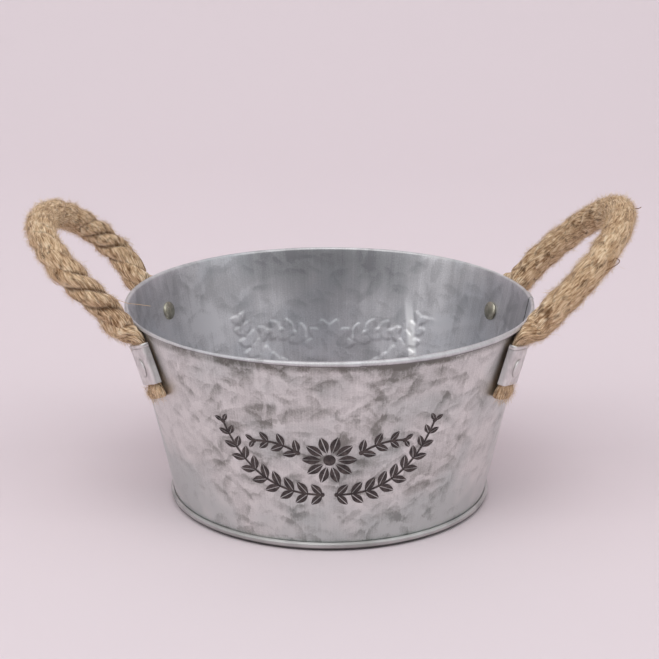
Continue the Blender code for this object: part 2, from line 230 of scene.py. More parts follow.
world = bpy.data.worlds.new("studio")
world.use_nodes = True
sky = world.node_tree
sky.nodes.clear()
lightPath = add(sky, "ShaderNodeLightPath").node.outputs
looking = add(sky, "ShaderNodeTexCoord", output="Generated")
direction = add(sky, "ShaderNodeSeparateXYZ", {0: looking}, output="Y")
level = add(sky, "ShaderNodeMapRange", {
    0: direction, 1: -0.98, 2: -0.75, 3: studio["dimLevel"], 4: studio["roomLevel"]}, **eased)
roomGlow = add(sky, "ShaderNodeBackground", {"Color": linear(studio["room"]), "Strength": level})
backdrop = add(sky, "ShaderNodeBackground", {"Color": linear(studio["backdrop"]), "Strength": 1.0})
seen = add(sky, "ShaderNodeMixShader", {0: lightPath["Is Camera Ray"], 1: roomGlow, 2: backdrop})
add(sky, "ShaderNodeOutputWorld", {"Surface": seen})
scene.world = world
print("camera and studio set")

# Finishes


# galvanised sheet with an antique wash: pale torn patches under dark brush marks, most round the stamp, dull
weatheredZinc = {
    "dark": "#84827D",
    "mid": "#AFAEAB",
    "light": "#CECDCB",
    "pale": "#E2E1DF",
    "cool": "#E4EAEA",  # tint of the bluish areas
    "ground": 0.70,  # tone between the marks
    # size in mm, turn, weight
    "strokes": ((19, 0.5, 0.34), (15, -0.6, 0.34), (12, 0.2, 0.32), (8, -0.9, 0.22)),
    "strokeShape": (0.56, 0.19),  # half length and half width, as shares of the size
    "strokeSpread": 0.8, "strokeChance": 0.95,
    "strokeFade": (0.3, 0.45, 0.0),  # along it and across it
    "patchShape": (1.3, 0.85, 1.0),
    "floor": 0.2,  # the darkest tone that marks on marks reach
    "gateMm": 26,  # areas with marks and areas without
    "quiet": 0.42,  # share of the marks that shows at the sides
    "paintedSideLight": 0.16, "paintedSideLightFrom": 0.86, "paintedSideLightTo": 0.56,  # painted light, paler round the sides
    "paintedFootLight": 0.22,  # painted light, paler towards the foot
    "upper": 0.0, "lower": 0.0,  # painted shade towards the rim, paler low down
    "patches": ((12, 0.5, 0.14, 0.18), (6, -0.5, 0.10, 0.17)),  # size in mm, turn, softness, weight
    "swayMm": 14, "sway": 0.005,
    "frayMm": 1.1, "fray": 0.0026,
    "cloudMm": 34, "clouds": 0.30,
    "streakMm": 5, "streaks": 0.16,
    "lineMm": 0.7, "lines": 0.32,  # rolling lines are finer on real sheet, drawn this coarse to show
    "grainMm": 0.8, "grain": 0.46,
    "corners": 0.42,  # painted shade under the rim's bead and over the base seam
    # painted highlight: strength of a pale upright streak, with its tint and path below
    "run": 0.0,
    "lapLine": 0.0,
    "fold": 0.0,
    "lapShadow": "#2E2B2C",  # the shadow beside the lap
    "highlightTint": "#FFFFFF",
    "highlightFrom": math.radians(-307.5), "highlightLean": 2.36,  # angle at the foot, radians for each metre up
    "rough": (0.42, 0.58),
}
# plain galvanised sheet inside: smoother, soft upright streaks, the marks hardly show
plainZinc = dict(
    weatheredZinc, dark="#98989B", mid="#B0B0B3", light="#C5C4C7", pale="#E2E1E4", cool="#F0F3F5",
    strokes=((18, 0.9, 0.18), (14, -0.2, 0.16), (9, -0.6, 0.14)), patches=((16, -0.4, 0.4, 0.18),),
    quiet=1.0, paintedFootLight=0.0, paintedSideLight=0.08, paintedSideLightFrom=0.96, paintedSideLightTo=0.62, streaks=0.45, lines=0.22, grain=0.40,
    # painted highlight streak, painted shadow beside the lap and painted shade towards the rim
    corners=0.0, run=0.75, lapLine=0.9,
    upper=0.38, lower=0.10, rough=(0.43, 0.54))
# the rim, curled from the plain side and rubbed by handling: duller, with painted shade under the curl
rimZinc = dict(
    plainZinc, dark="#8A8786", mid="#BDBCBD", light="#D2D1D2", pale="#E0DFE0", run=0.0, lapLine=0.0,
    fold=0.75, paintedSideLight=0.0, upper=0.0, lower=0.0, rough=(0.60, 0.68))


def zincFinish(name, look):
    material, tree = startMaterial(name)
    sheet = add(tree, "ShaderNodeUVMap", uv_map="sheet")
    flat = add(tree, "ShaderNodeSeparateXYZ", {0: sheet}).node.outputs
    brushed = sheet
    for size, amount, squeeze in ((look["swayMm"], look["sway"], 1.0), (look["frayMm"], look["fray"], 0.2)):
        drawn = add(tree, "ShaderNodeMapping", {"Vector": sheet, "Scale": (1.0, squeeze, 1.0)})
        push = add(tree, "ShaderNodeTexNoise", {
            "Vector": drawn, "Scale": perMetre(size), "Detail": 3.0}, output="Color")
        push = add(tree, "ShaderNodeVectorMath", {0: push, 1: centreColour}, operation="SUBTRACT")
        push = add(tree, "ShaderNodeVectorMath", {0: push, "Scale": amount}, operation="SCALE")
        brushed = add(tree, "ShaderNodeVectorMath", {0: brushed, 1: push}, operation="ADD")
    angle = add(tree, "ShaderNodeMath", {0: flat["X"], 1: midRadius}, operation="DIVIDE")
    turned = add(tree, "ShaderNodeMath", {0: angle}, operation="SINE")
    turned = add(tree, "ShaderNodeMath", {0: turned}, operation="ABSOLUTE")
    loud = add(tree, "ShaderNodeMapRange", {0: turned, 1: 0.58, 2: 0.88, 3: look["quiet"], 4: 1.0},
               **eased)
    tone = look["ground"]
    layers = {}
    for kind, squeeze in (("cloud", 1.0), ("streak", 0.10), ("line", 0.02), ("grain", 1.0)):
        weight = look["grain" if kind == "grain" else kind + "s"]
        drawn = add(tree, "ShaderNodeMapping", {"Vector": sheet, "Scale": (1.0, squeeze, 1.0)})
        layers[kind] = add(tree, "ShaderNodeTexNoise", {
            "Vector": drawn, "Scale": perMetre(look[kind + "Mm"]), "Detail": 3.0})
        centred = add(tree, "ShaderNodeMath", {0: layers[kind], 1: 0.5}, operation="SUBTRACT")
        tone = add(tree, "ShaderNodeMath", {0: centred, 1: weight, 2: tone}, operation="MULTIPLY_ADD")
    gate = add(tree, "ShaderNodeTexNoise", {
        "Vector": sheet, "Scale": perMetre(look["gateMm"]), "Detail": 2.0})
    for size, turn, softness, weight in look["patches"]:  # each patch shades off in its own direction
        leaning = add(tree, "ShaderNodeMapping", {
            "Vector": brushed, "Rotation": (0, 0, turn), "Location": (0.37 * size * turn, 0.21 * size, 0),
            "Scale": look["patchShape"]}, vector_type="TEXTURE")
        cells = add(tree, "ShaderNodeTexVoronoi", {
            "Vector": leaning, "Scale": perMetre(size), "Smoothness": softness},
            feature="SMOOTH_F1").node.outputs
        own = add(tree, "ShaderNodeVectorMath", {0: leaning, 1: cells["Position"]}, operation="SUBTRACT")
        lean = add(tree, "ShaderNodeVectorMath", {0: cells["Color"], 1: centreColour}, operation="SUBTRACT")
        slope = add(tree, "ShaderNodeVectorMath", {0: own, 1: lean}, output="Value", operation="DOT_PRODUCT")
        level = add(tree, "ShaderNodeSeparateColor", {0: lean}, output="Blue")
        shift = add(tree, "ShaderNodeMath", {0: slope, 1: 1.5 * perMetre(size), 2: level},
                    operation="MULTIPLY_ADD")
        shift = add(tree, "ShaderNodeMath", {0: shift, 1: loud}, operation="MULTIPLY")
        tone = add(tree, "ShaderNodeMath", {0: shift, 1: weight, 2: tone}, operation="MULTIPLY_ADD")
    for size, turn, weight in look["strokes"]:  # a brush stroke in each chosen cell, with its own direction
        moved = add(tree, "ShaderNodeVectorMath", {
            0: brushed, 1: (0.013 * size, 0.029 * size, 0)}, operation="ADD")
        cells = add(tree, "ShaderNodeTexVoronoi", {
            "Vector": moved, "Scale": perMetre(size)}, voronoi_dimensions="2D").node.outputs
        drawn = add(tree, "ShaderNodeSeparateColor", {0: cells["Color"]}).node.outputs
        way = add(tree, "ShaderNodeMapRange", {
            0: drawn["Red"], 3: turn - look["strokeSpread"], 4: turn + look["strokeSpread"]})
        own = add(tree, "ShaderNodeVectorMath", {0: moved, 1: cells["Position"]}, operation="SUBTRACT")
        own = add(tree, "ShaderNodeVectorRotate", {"Vector": own, "Angle": way}, rotation_type="Z_AXIS")
        long, wide = look["strokeShape"]
        own = add(tree, "ShaderNodeVectorMath", {
            0: own, 1: (perMetre(size) / long, perMetre(size) / wide, 0)}, operation="MULTIPLY")
        away = add(tree, "ShaderNodeVectorMath", {0: own}, output="Value", operation="LENGTH")
        body = add(tree, "ShaderNodeMapRange", {0: away, 1: 1.0, 2: 0.55}, **eased)
        fade = add(tree, "ShaderNodeVectorMath", {0: own, 1: look["strokeFade"]}, output="Value",
                   operation="DOT_PRODUCT")
        fade = add(tree, "ShaderNodeMath", {0: fade, 1: 0.65}, operation="ADD")
        chance = add(tree, "ShaderNodeMath", {0: gate, 1: 1.4, 2: drawn["Blue"]}, operation="MULTIPLY_ADD")
        chosen = add(tree, "ShaderNodeMapRange", {
            0: chance, 1: look["strokeChance"], 2: look["strokeChance"] + 0.3}, **eased)
        shift = add(tree, "ShaderNodeMath", {0: body, 1: fade}, operation="MULTIPLY")
        for share in (chosen, loud):
            shift = add(tree, "ShaderNodeMath", {0: shift, 1: share}, operation="MULTIPLY")
        tone = add(tree, "ShaderNodeMath", {0: shift, 1: -weight, 2: tone}, operation="MULTIPLY_ADD")
    tone = add(tree, "ShaderNodeMath", {0: tone, 1: look["floor"], 2: 0.2}, operation="SMOOTH_MAX")
    if look["run"]:  # painted highlight: a pale upright streak for a lamp's reflection in the curved wall, strongest low down
        aside = add(tree, "ShaderNodeMath", {0: flat["Y"], 1: -look["highlightLean"], 2: angle},
                    operation="MULTIPLY_ADD")
        aside = add(tree, "ShaderNodeMath", {0: aside, 1: look["highlightFrom"]}, operation="SUBTRACT")
        aside = add(tree, "ShaderNodeMath", {0: aside}, operation="ABSOLUTE")
        band = add(tree, "ShaderNodeMapRange", {0: aside, 1: 0.012, 2: 0.036, 3: 1.0, 4: 0.0},
                   **eased)
        thick = add(tree, "ShaderNodeMapRange", {0: flat["Y"], 1: 0.080, 2: 0.058, 3: 0.02, 4: 1.0},
                    **eased)
        run = add(tree, "ShaderNodeMath", {0: band, 1: thick}, operation="MULTIPLY")
        tone = add(tree, "ShaderNodeMath", {0: run, 1: look["run"], 2: tone}, operation="MULTIPLY_ADD")
    lapPlace = tub["lapAngle"] * midRadius
    # the shade under the rim is in the middle of the wall, not at its sides
    middle = add(tree, "ShaderNodeMapRange", {0: turned, 1: 0.64, 2: 0.95}, **eased)
    under = add(tree, "ShaderNodeMath", {0: middle, 1: flat["Y"]}, operation="MULTIPLY")
    # where the sheet's tone shifts: value, from, to, amount
    shifts = [
        # painted light, paler round the sides
        (turned, look["paintedSideLightFrom"], look["paintedSideLightTo"], look["paintedSideLight"]),
        # painted light, paler towards the foot
        (flat["Y"], 0.040, 0.008, look["paintedFootLight"]),
        # painted shade towards the rim, in the middle of the wall
        (under, 0.068, 0.095, -look["upper"]),
        (flat["Y"], 0.094, 0.056, look["lower"]),
        # painted shade under the rim's bead, and weaker over the base seam
        (flat["Y"], slopeLength - 0.0062, slopeLength - 0.0029, -look["corners"]),
        (flat["Y"], 0.0080, 0.0045, -0.2 * look["corners"]),
        # painted shade on the underside of the curl
        (flat["Y"], slopeLength + 2.9 * curlRadius, slopeLength + 3.9 * curlRadius, -look["fold"])]
    for value, low, high, amount in shifts:
        if amount:
            share = add(tree, "ShaderNodeMapRange", {0: value, 1: low, 2: high}, **eased)
            tone = add(tree, "ShaderNodeMath", {0: share, 1: amount, 2: tone}, operation="MULTIPLY_ADD")
    if look["lapLine"]:  # painted shadow in the crevice beside the lap
        aside = add(tree, "ShaderNodeMath", {0: flat["X"], 1: lapPlace - 0.0004}, operation="SUBTRACT")
        aside = add(tree, "ShaderNodeMath", {0: aside}, operation="ABSOLUTE")
        lapShadow = add(tree, "ShaderNodeMapRange", {0: aside, 1: 0.0004, 2: 0.0007, 3: look["lapLine"], 4: 0.0})
    colour = add(tree, "ShaderNodeValToRGB", {0: tone}, stops=[
        (0.12, look["dark"]), (0.92, look["pale"]), (0.40, look["mid"]), (0.66, look["light"])])
    wash = add(tree, "ShaderNodeTexNoise", {"Vector": sheet, "Scale": perMetre(40), "Detail": 3.0, "W": 3.0},
               noise_dimensions="4D")
    low = add(tree, "ShaderNodeMapRange", {0: flat["Y"], 1: 0.040, 2: 0.006, 3: -0.03, 4: 0.10})
    wash = add(tree, "ShaderNodeMath", {0: wash, 1: low}, operation="ADD")
    coolness = add(tree, "ShaderNodeMapRange", {0: wash, 1: 0.46, 2: 0.62})
    tinted = add(tree, "ShaderNodeMix", {0: coolness, 6: colour, 7: linear(look["cool"])}, output=2,
                 data_type="RGBA", blend_type="MULTIPLY")
    # painted highlight streak, tinted white
    if look["run"]:
        tinted = add(tree, "ShaderNodeMix", {0: run, 6: tinted, 7: linear(look["highlightTint"])}, output=2,
                     data_type="RGBA")
    # painted shadow beside the lap
    if look["lapLine"]:
        tinted = add(tree, "ShaderNodeMix", {0: lapShadow, 6: tinted, 7: linear(look["lapShadow"])}, output=2,
                     data_type="RGBA")
    smoother, rougher = look["rough"]
    rough = add(tree, "ShaderNodeMapRange", {0: tone, 1: 0.1, 2: 0.9, 3: rougher, 4: smoother})
    relief = add(tree, "ShaderNodeMath", {0: layers["line"], 1: 0.6, 2: layers["grain"]},
                 operation="MULTIPLY_ADD")
    bump = add(tree, "ShaderNodeBump", {"Strength": 0.14, "Distance": 0.0002, "Height": relief})
    shader = add(tree, "ShaderNodeBsdfPrincipled", {
        "Base Color": tinted, "Metallic": 1.0, "Roughness": rough, "Normal": bump})
    add(tree, "ShaderNodeOutputMaterial", {"Surface": shader})
    return material


# Tub wall: stamped while flat, then rolled to a tapered ring with a wired rim

tub = {
    "sheet": 0.00035,
    "bead": 0.0023,
    "beadCurl": math.radians(280),
    "footRadius": 0.07758,  # middle of the sheet, at the table
    "wallFrom": 0.0012,  # the wall's lower edge, hidden in the base seam
    "lapAngle": math.radians(1.8),
    "lapWidth": 0.0075,
    "lapJoggle": 0.004,
    "fineStep": 0.00069,  # grid where the sheet is stamped
    "lapStep": 0.001,
    "coarseStep": 0.0045,
    "beadSteps": 20,
    "dents": 46,
    "dentDepth": 0.00016,
    "seed": 7,
}
stamp = {
    "width": 0.104,
    "height": 0.050,
    "middle": 0.0500,  # height of the motif's middle up the slope
    "depth": 0.00028,
    "flat": 0.0002,  # level margin round the ink
    "shoulder": 0.0010,
    "inkLift": 0.00012,
}

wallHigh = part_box("side_wall")[1]
rimRadius = wallHigh[0]
tubHeight = wallHigh[2]
curlRadius = (tub["bead"] - tub["sheet"]) / 2
beadRadius = rimRadius - tub["bead"] / 2
beadHeight = tubHeight - tub["bead"] / 2
taper = math.atan2(beadRadius - tub["footRadius"], beadHeight)
taper -= math.asin(curlRadius / math.hypot(beadRadius - tub["footRadius"], beadHeight))
slopeLength = (beadHeight + curlRadius * math.sin(taper)) / math.cos(taper)


def wallRadius(height):  # of the middle of the sheet
    return tub["footRadius"] + height * math.tan(taper)


midRadius = wallRadius(tubHeight / 2)  # flat lengths are true at this radius
outsideZinc = zincFinish("weatheredGalvanisedSheet", weatheredZinc)
insideZinc = zincFinish("plainGalvanisedSheet", plainZinc)

# the flat sheet's x runs round the tub, y up the slope from the table and on round the rim, z outwards
rollSheet, given = startTree("rollSheet", {
    "Mid Radius": "NodeSocketFloat", "Foot Radius": "NodeSocketFloat", "Taper": "NodeSocketFloat",
    "Slope Length": "NodeSocketFloat", "Curl Radius": "NodeSocketFloat"})
flat = add(rollSheet, "ShaderNodeSeparateXYZ", {0: add(rollSheet, "GeometryNodeInputPosition")}).node.outputs
made = {label: given[label] for label in ("Mid Radius", "Foot Radius", "Taper", "Slope Length", "Curl Radius")}
made.update({axis: flat[axis] for axis in "XYZ"})
rollSteps = [  # value, operation, what it works on
    ("angle", "DIVIDE", "X", "Mid Radius"),
    ("onSlope", "MINIMUM", "Y", "Slope Length"),
    ("past", "SUBTRACT", "Y", "onSlope"),
    ("turn", "DIVIDE", "past", "Curl Radius"),
    ("arm", "SUBTRACT", "Curl Radius", "Z"),
    ("turnSine", "SINE", "turn"),
    ("turnCosine", "COSINE", "turn"),
    ("upSlope", "MULTIPLY_ADD", "arm", "turnSine", "onSlope"),
    ("armAcross", "MULTIPLY", "arm", "turnCosine"),
    ("offSlope", "SUBTRACT", "Curl Radius", "armAcross"),
    ("taperSine", "SINE", "Taper"),
    ("taperCosine", "COSINE", "Taper"),
    ("slopeRadius", "MULTIPLY_ADD", "upSlope", "taperSine", "Foot Radius"),
    ("radius", "MULTIPLY_ADD", "offSlope", "taperCosine", "slopeRadius"),
    ("drop", "MULTIPLY", "offSlope", "taperSine"),
    ("rise", "MULTIPLY", "upSlope", "taperCosine"),
    ("height", "SUBTRACT", "rise", "drop"),
    ("angleSine", "SINE", "angle"),
    ("angleCosine", "COSINE", "angle"),
    ("placeX", "MULTIPLY", "radius", "angleCosine"),
    ("placeY", "MULTIPLY", "radius", "angleSine")]
for label, operation, *parts in rollSteps:
    operands = {index: made[part] for index, part in enumerate(parts)}
    made[label] = add(rollSheet, "ShaderNodeMath", operands, operation=operation)
rolled = add(rollSheet, "ShaderNodeCombineXYZ", {
    0: made["placeX"], 1: made["placeY"], 2: made["height"]})
ring = add(rollSheet, "GeometryNodeSetPosition", {"Geometry": given["Geometry"], "Position": rolled})
add(rollSheet, "NodeGroupOutput", {0: ring})
rollValues = {
    "Mid Radius": midRadius, "Foot Radius": tub["footRadius"], "Taper": taper,
    "Slope Length": slopeLength, "Curl Radius": curlRadius}

# Stamped motif: leafy sprays and blossoms, the same in front and behind

sprays = {
    # right half, mm from the middle, and the size of the leaves there
    "garland": [(3.5, -19, 0.9), (15, -19, 1.0), (28, -14.5, 1.0), (39, -6, 0.9), (46, 5, 0.75),
                (49.5, 16, 0.55)],
    "sprig": [(14.5, 3.5, 0.85), (21, 8, 0.85), (28, 9.5, 0.75), (35, 8, 0.55)],
    "stemWidth": 0.0011,
    "leafLength": 0.0086,
    "leafWidth": 0.0020,  # of one half, beside the midrib
    "midrib": 0.0004,
    "leafLean": math.radians(46),
    "leafSpacing": 0.0066,
    "berry": 0.0012,
    "petals": 10,
    "petalLength": 0.0090,
    "blossomHeart": 0.0029,
}

sprayTree, given = startTree("leafSprays", {
    "Stem Width": "NodeSocketFloat", "Leaf Length": "NodeSocketFloat", "Leaf Width": "NodeSocketFloat",
    "Midrib": "NodeSocketFloat", "Lean": "NodeSocketFloat", "Leaf Spacing": "NodeSocketFloat",
    "Berry": "NodeSocketFloat", "Petals": "NodeSocketInt", "Petal Length": "NodeSocketFloat",
    "Heart": "NodeSocketFloat"})
# half a leaf from a small grid, pointed at both ends, and its mirror image
blank = add(sprayTree, "GeometryNodeMeshGrid", {"Vertices X": 9, "Vertices Y": 4})
grid = add(sprayTree, "ShaderNodeSeparateXYZ", {0: add(sprayTree, "GeometryNodeInputPosition")}).node.outputs
fromStalk = add(sprayTree, "ShaderNodeMath", {0: grid["X"], 1: 0.5}, operation="ADD")
fromRib = add(sprayTree, "ShaderNodeMath", {0: grid["Y"], 1: 0.5}, operation="ADD")
sweep = add(sprayTree, "ShaderNodeMath", {0: fromStalk, 1: math.pi}, operation="MULTIPLY")
swell = add(sprayTree, "ShaderNodeMath", {0: sweep}, operation="SINE")
belly = add(sprayTree, "ShaderNodeMath", {0: swell, 1: given["Leaf Width"]}, operation="MULTIPLY")
ribHalf = add(sprayTree, "ShaderNodeMath", {0: given["Midrib"], 1: 0.5}, operation="MULTIPLY")
offRib = add(sprayTree, "ShaderNodeMath", {0: belly, 1: fromRib, 2: ribHalf}, operation="MULTIPLY_ADD")
runOut = add(sprayTree, "ShaderNodeMath", {0: fromStalk, 1: given["Leaf Length"]}, operation="MULTIPLY")
leafPlace = add(sprayTree, "ShaderNodeCombineXYZ", {0: runOut, 1: offRib})
halfLeaf = add(sprayTree, "GeometryNodeSetPosition", {"Geometry": blank, "Position": leafPlace})
mirrored = add(sprayTree, "GeometryNodeTransform", {"Geometry": halfLeaf, "Scale": (1, -1, 1)})
mirrored = add(sprayTree, "GeometryNodeFlipFaces", {0: mirrored})
leafJoin = add(sprayTree, "GeometryNodeJoinGeometry", {0: halfLeaf})
sprayTree.links.new(mirrored, leafJoin.node.inputs[0])
# leaves in pairs along each stem, smaller towards the tip
row = add(sprayTree, "GeometryNodeCurveToPoints", {
    "Curve": given["Geometry"], "Length": given["Leaf Spacing"]}, mode="LENGTH").node.outputs
along = add(sprayTree, "FunctionNodeAlignRotationToVector", {"Vector": row["Tangent"]}, axis="X")
size = add(sprayTree, "GeometryNodeInputRadius")
leafSet = add(sprayTree, "GeometryNodeJoinGeometry")
for sign in (1, -1):
    lean = add(sprayTree, "ShaderNodeMath", {0: given["Lean"], 1: sign}, operation="MULTIPLY")
    twist = add(sprayTree, "ShaderNodeCombineXYZ", {2: lean})
    turned = add(sprayTree, "FunctionNodeRotateRotation", {0: along, 1: twist}, rotation_space="LOCAL")
    leaves = add(sprayTree, "GeometryNodeInstanceOnPoints", {
        "Points": row["Points"], "Instance": leafJoin, "Rotation": turned, "Scale": size})
    sprayTree.links.new(leaves, leafSet.node.inputs[0])
ribbon = add(sprayTree, "GeometryNodeResampleCurve", {"Curve": given["Geometry"], "Count": 60})
stemHalf = add(sprayTree, "ShaderNodeMath", {0: given["Stem Width"], 1: 0.5}, operation="MULTIPLY")
edgeA = add(sprayTree, "ShaderNodeCombineXYZ", {0: stemHalf})
edgeB = add(sprayTree, "ShaderNodeVectorMath", {0: edgeA, "Scale": -1.0}, operation="SCALE")
stroke = add(sprayTree, "GeometryNodeCurvePrimitiveLine", {"Start": edgeA, "End": edgeB})
stems = add(sprayTree, "GeometryNodeCurveToMesh", {"Curve": ribbon, "Profile Curve": stroke})
sprayTree.links.new(stems, leafSet.node.inputs[0])
# a berry at both ends of each stem
ends = add(sprayTree, "GeometryNodeCurveEndpointSelection", {"Start Size": 1, "End Size": 1})
berry = add(sprayTree, "GeometryNodeMeshCircle", {"Vertices": 14, "Radius": given["Berry"]},
            fill_type="TRIANGLE_FAN")
berries = add(sprayTree, "GeometryNodeInstanceOnPoints", {
    "Points": ribbon, "Selection": ends, "Instance": berry})
sprayTree.links.new(berries, leafSet.node.inputs[0])
# one blossom in the middle: petals round a heart
petalRing = add(sprayTree, "GeometryNodeMeshCircle", {
    "Vertices": given["Petals"], "Radius": add(sprayTree, "ShaderNodeMath", {
        0: given["Heart"], 1: 1.35}, operation="MULTIPLY")})
radial = add(sprayTree, "FunctionNodeAlignRotationToVector", {
    "Vector": add(sprayTree, "GeometryNodeInputPosition")}, axis="X")
petalSize = add(sprayTree, "ShaderNodeMath", {0: given["Petal Length"], 1: given["Leaf Length"]},
                operation="DIVIDE")
petals = add(sprayTree, "GeometryNodeInstanceOnPoints", {
    "Points": petalRing, "Instance": leafJoin, "Rotation": radial, "Scale": petalSize})
heart = add(sprayTree, "GeometryNodeMeshCircle", {"Vertices": 20, "Radius": given["Heart"]},
            fill_type="TRIANGLE_FAN")
sprayTree.links.new(petals, leafSet.node.inputs[0])
sprayTree.links.new(heart, leafSet.node.inputs[0])
add(sprayTree, "NodeGroupOutput", {0: add(sprayTree, "GeometryNodeRealizeInstances", {0: leafSet})})

stems = bpy.data.curves.new("stems", "CURVE")
stems.dimensions = "3D"
for path in (sprays["garland"], sprays["sprig"]):
    for sign in (1, -1):
        spline = stems.splines.new("NURBS")
        spline.points.add(len(path) - 1)
        for point, (x, y, leafSize) in zip(spline.points, path):
            point.co = (sign * x / 1000, y / 1000, 0, 1)
            point.radius = leafSize
        spline.order_u = 4
        spline.use_endpoint_u = True
holder = putIn("stems", stems)
motif = runTree(holder, sprayTree, {
    "Stem Width": sprays["stemWidth"], "Leaf Length": sprays["leafLength"], "Leaf Width": sprays["leafWidth"],
    "Midrib": sprays["midrib"], "Lean": sprays["leafLean"], "Leaf Spacing": sprays["leafSpacing"],
    "Berry": sprays["berry"], "Petals": sprays["petals"], "Petal Length": sprays["petalLength"],
    "Heart": sprays["blossomHeart"]}, "motif")
motifPoints = readPoints(motif.data)
motifFaces = [tuple(face.vertices) for face in motif.data.polygons]
bpy.data.objects.remove(motif)
print("motif", len(motifFaces), "faces", motifPoints.min(0), motifPoints.max(0))

stampCentres = [-math.pi / 2 * midRadius, math.pi / 2 * midRadius]  # front and back
lapStart = tub["lapAngle"] * midRadius - 2 * math.pi * midRadius  # the sheet's inner end
rng = np.random.default_rng(tub["seed"])
dentX = rng.uniform(-math.pi, math.pi, tub["dents"]) * midRadius
dentY = rng.uniform(0.012, 0.092, tub["dents"])
dentSize = rng.uniform(0.004, 0.011, tub["dents"])
dentDepth = rng.normal(0, tub["dentDepth"], tub["dents"])


def shortWay(x):  # along the sheet, the shorter way round the tub
    around = 2 * math.pi * midRadius
    return (x + around / 2) % around - around / 2


def sheetLift(x, y):  # how far hand-made sheet stands off the true cone, in metres
    lift = np.zeros_like(x)
    turn = x / midRadius
    for waves, size, phase in ((2, 0.00025, 0.4), (3, 0.00016, 2.1), (7, 0.00005, 4.0)):
        lift += size * np.sin(waves * turn + phase) * smoothstep(0.0, 0.1, y)
    for atX, atY, size, depth in zip(dentX, dentY, dentSize, dentDepth):
        apart = shortWay(x - atX)
        lift += depth * np.exp(-(apart ** 2 + (y - atY) ** 2) / (2 * size ** 2))
    return lift


def stampDepth(x, y):  # 1 under the ink, falling to 0 at the shoulder
    pressed = np.zeros_like(x)
    tree = BVHTree.FromPolygons([Vector(p) for p in motifPoints], motifFaces)
    reach = stamp["flat"] + stamp["shoulder"]
    for centre in stampCentres:
        localX = shortWay(x - centre)
        localY = y - stamp["middle"]
        near = (np.abs(localX) < stamp["width"] / 2 + 0.004) & (np.abs(localY) < stamp["height"] / 2 + 0.004)
        for index in np.flatnonzero(near.ravel()):
            point = Vector((localX.ravel()[index], localY.ravel()[index], 0))
            found = tree.find_nearest(point, reach)
            if found[0] is not None:
                away = found[3]
                share = 1 - float(smoothstep(stamp["flat"], reach, np.array(away)))
                pressed.ravel()[index] = max(pressed.ravel()[index], share)
    return pressed


def sheetColumns():  # close together where the sheet is stamped
    end = lapStart + 2 * math.pi * midRadius + tub["lapWidth"]
    columns = [lapStart]
    while columns[-1] < end:
        x = columns[-1]
        apart = min(abs(shortWay(x - centre)) for centre in stampCentres)
        step = tub["coarseStep"]
        if x < lapStart + tub["lapWidth"] + tub["lapJoggle"] + 0.002:
            step = tub["lapStep"]
        if apart < stamp["width"] / 2 + 0.003:
            step = tub["fineStep"]
        columns.append(x + step)
    columns[-1] = end
    return np.array(columns)


def sheetRows():
    rows = [tub["wallFrom"], 0.004]
    while rows[-1] < slopeLength - 0.002:
        apart = abs(rows[-1] - stamp["middle"])
        rows.append(rows[-1] + (tub["fineStep"] if apart < stamp["height"] / 2 + 0.002 else 0.0022))
    rows[-1] = slopeLength
    curl = curlRadius * tub["beadCurl"]
    steps = tub["beadSteps"]
    return np.array(rows + [slopeLength + curl * step / steps for step in range(1, steps + 1)])


columns = sheetColumns()
rows = sheetRows()
gridX, gridY = np.meshgrid(columns, rows, indexing="ij")
pressed = stampDepth(gridX, gridY)
middle = sheetLift(gridX, gridY) - stamp["depth"] * pressed
lapEnd = lapStart + tub["lapWidth"]
middle -= (tub["sheet"] + 0.00004) * (1 - smoothstep(lapEnd, lapEnd + tub["lapJoggle"], gridX))
outer = np.stack([gridX, gridY, middle + tub["sheet"] / 2], -1).reshape(-1, 3)
inner = np.stack([gridX, gridY, middle - tub["sheet"] / 2], -1).reshape(-1, 3)
index = np.arange(len(outer)).reshape(gridX.shape)
quads = np.stack([index[:-1, :-1], index[1:, :-1], index[1:, 1:], index[:-1, 1:]], -1).reshape(-1, 4)
under = len(outer)
edge = np.concatenate([index[:, 0], index[-1, 1:], index[-2::-1, -1], index[0, -2:0:-1]])
nextEdge = np.roll(edge, -1)
sides = np.stack([edge, edge + under, nextEdge + under, nextEdge], -1)
blankFaces = np.concatenate([quads, quads[:, ::-1] + under, sides])
blank = makePiece("blank", np.concatenate([outer, inner]), blankFaces.tolist(), outsideZinc)
blank.data.materials.append(insideZinc)
blank.data.materials.append(zincFinish("rubbedGalvanisedRim", rimZinc))
giveUv(blank, "sheet", np.concatenate([outer[:, :2], inner[:, :2]]))
# plain zinc inside and on the rim, which the antique wash missed
faceRow = np.concatenate([gridY[:-1, :-1].ravel(), gridY[:-1, :-1].ravel(), np.full(len(sides), 1.0)])
isInside = np.concatenate([np.zeros(len(quads), bool), np.ones(len(quads), bool), np.ones(len(sides), bool)])
slots = np.where(faceRow > slopeLength - 1e-6, 2, isInside).astype(np.int32)
blank.data.polygons.foreach_set("material_index", slots)
tubWall = runTree(blank, rollSheet, rollValues, "tubWall")
tubWall.data.shade_smooth()
tubWall.data.set_sharp_from_angle(angle=math.radians(60))
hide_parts("side_wall")
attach(tubWall, "tub")
print("tub wall", len(tubWall.data.polygons), "faces")


# oil-based stamping ink, thin and rubbed: nearly black brown, grey where it wore off the high spots
inkLook = {"full": "#2C2424", "rubbed": "#5A504D", "wearMm": 2.5, "speckMm": 0.6}


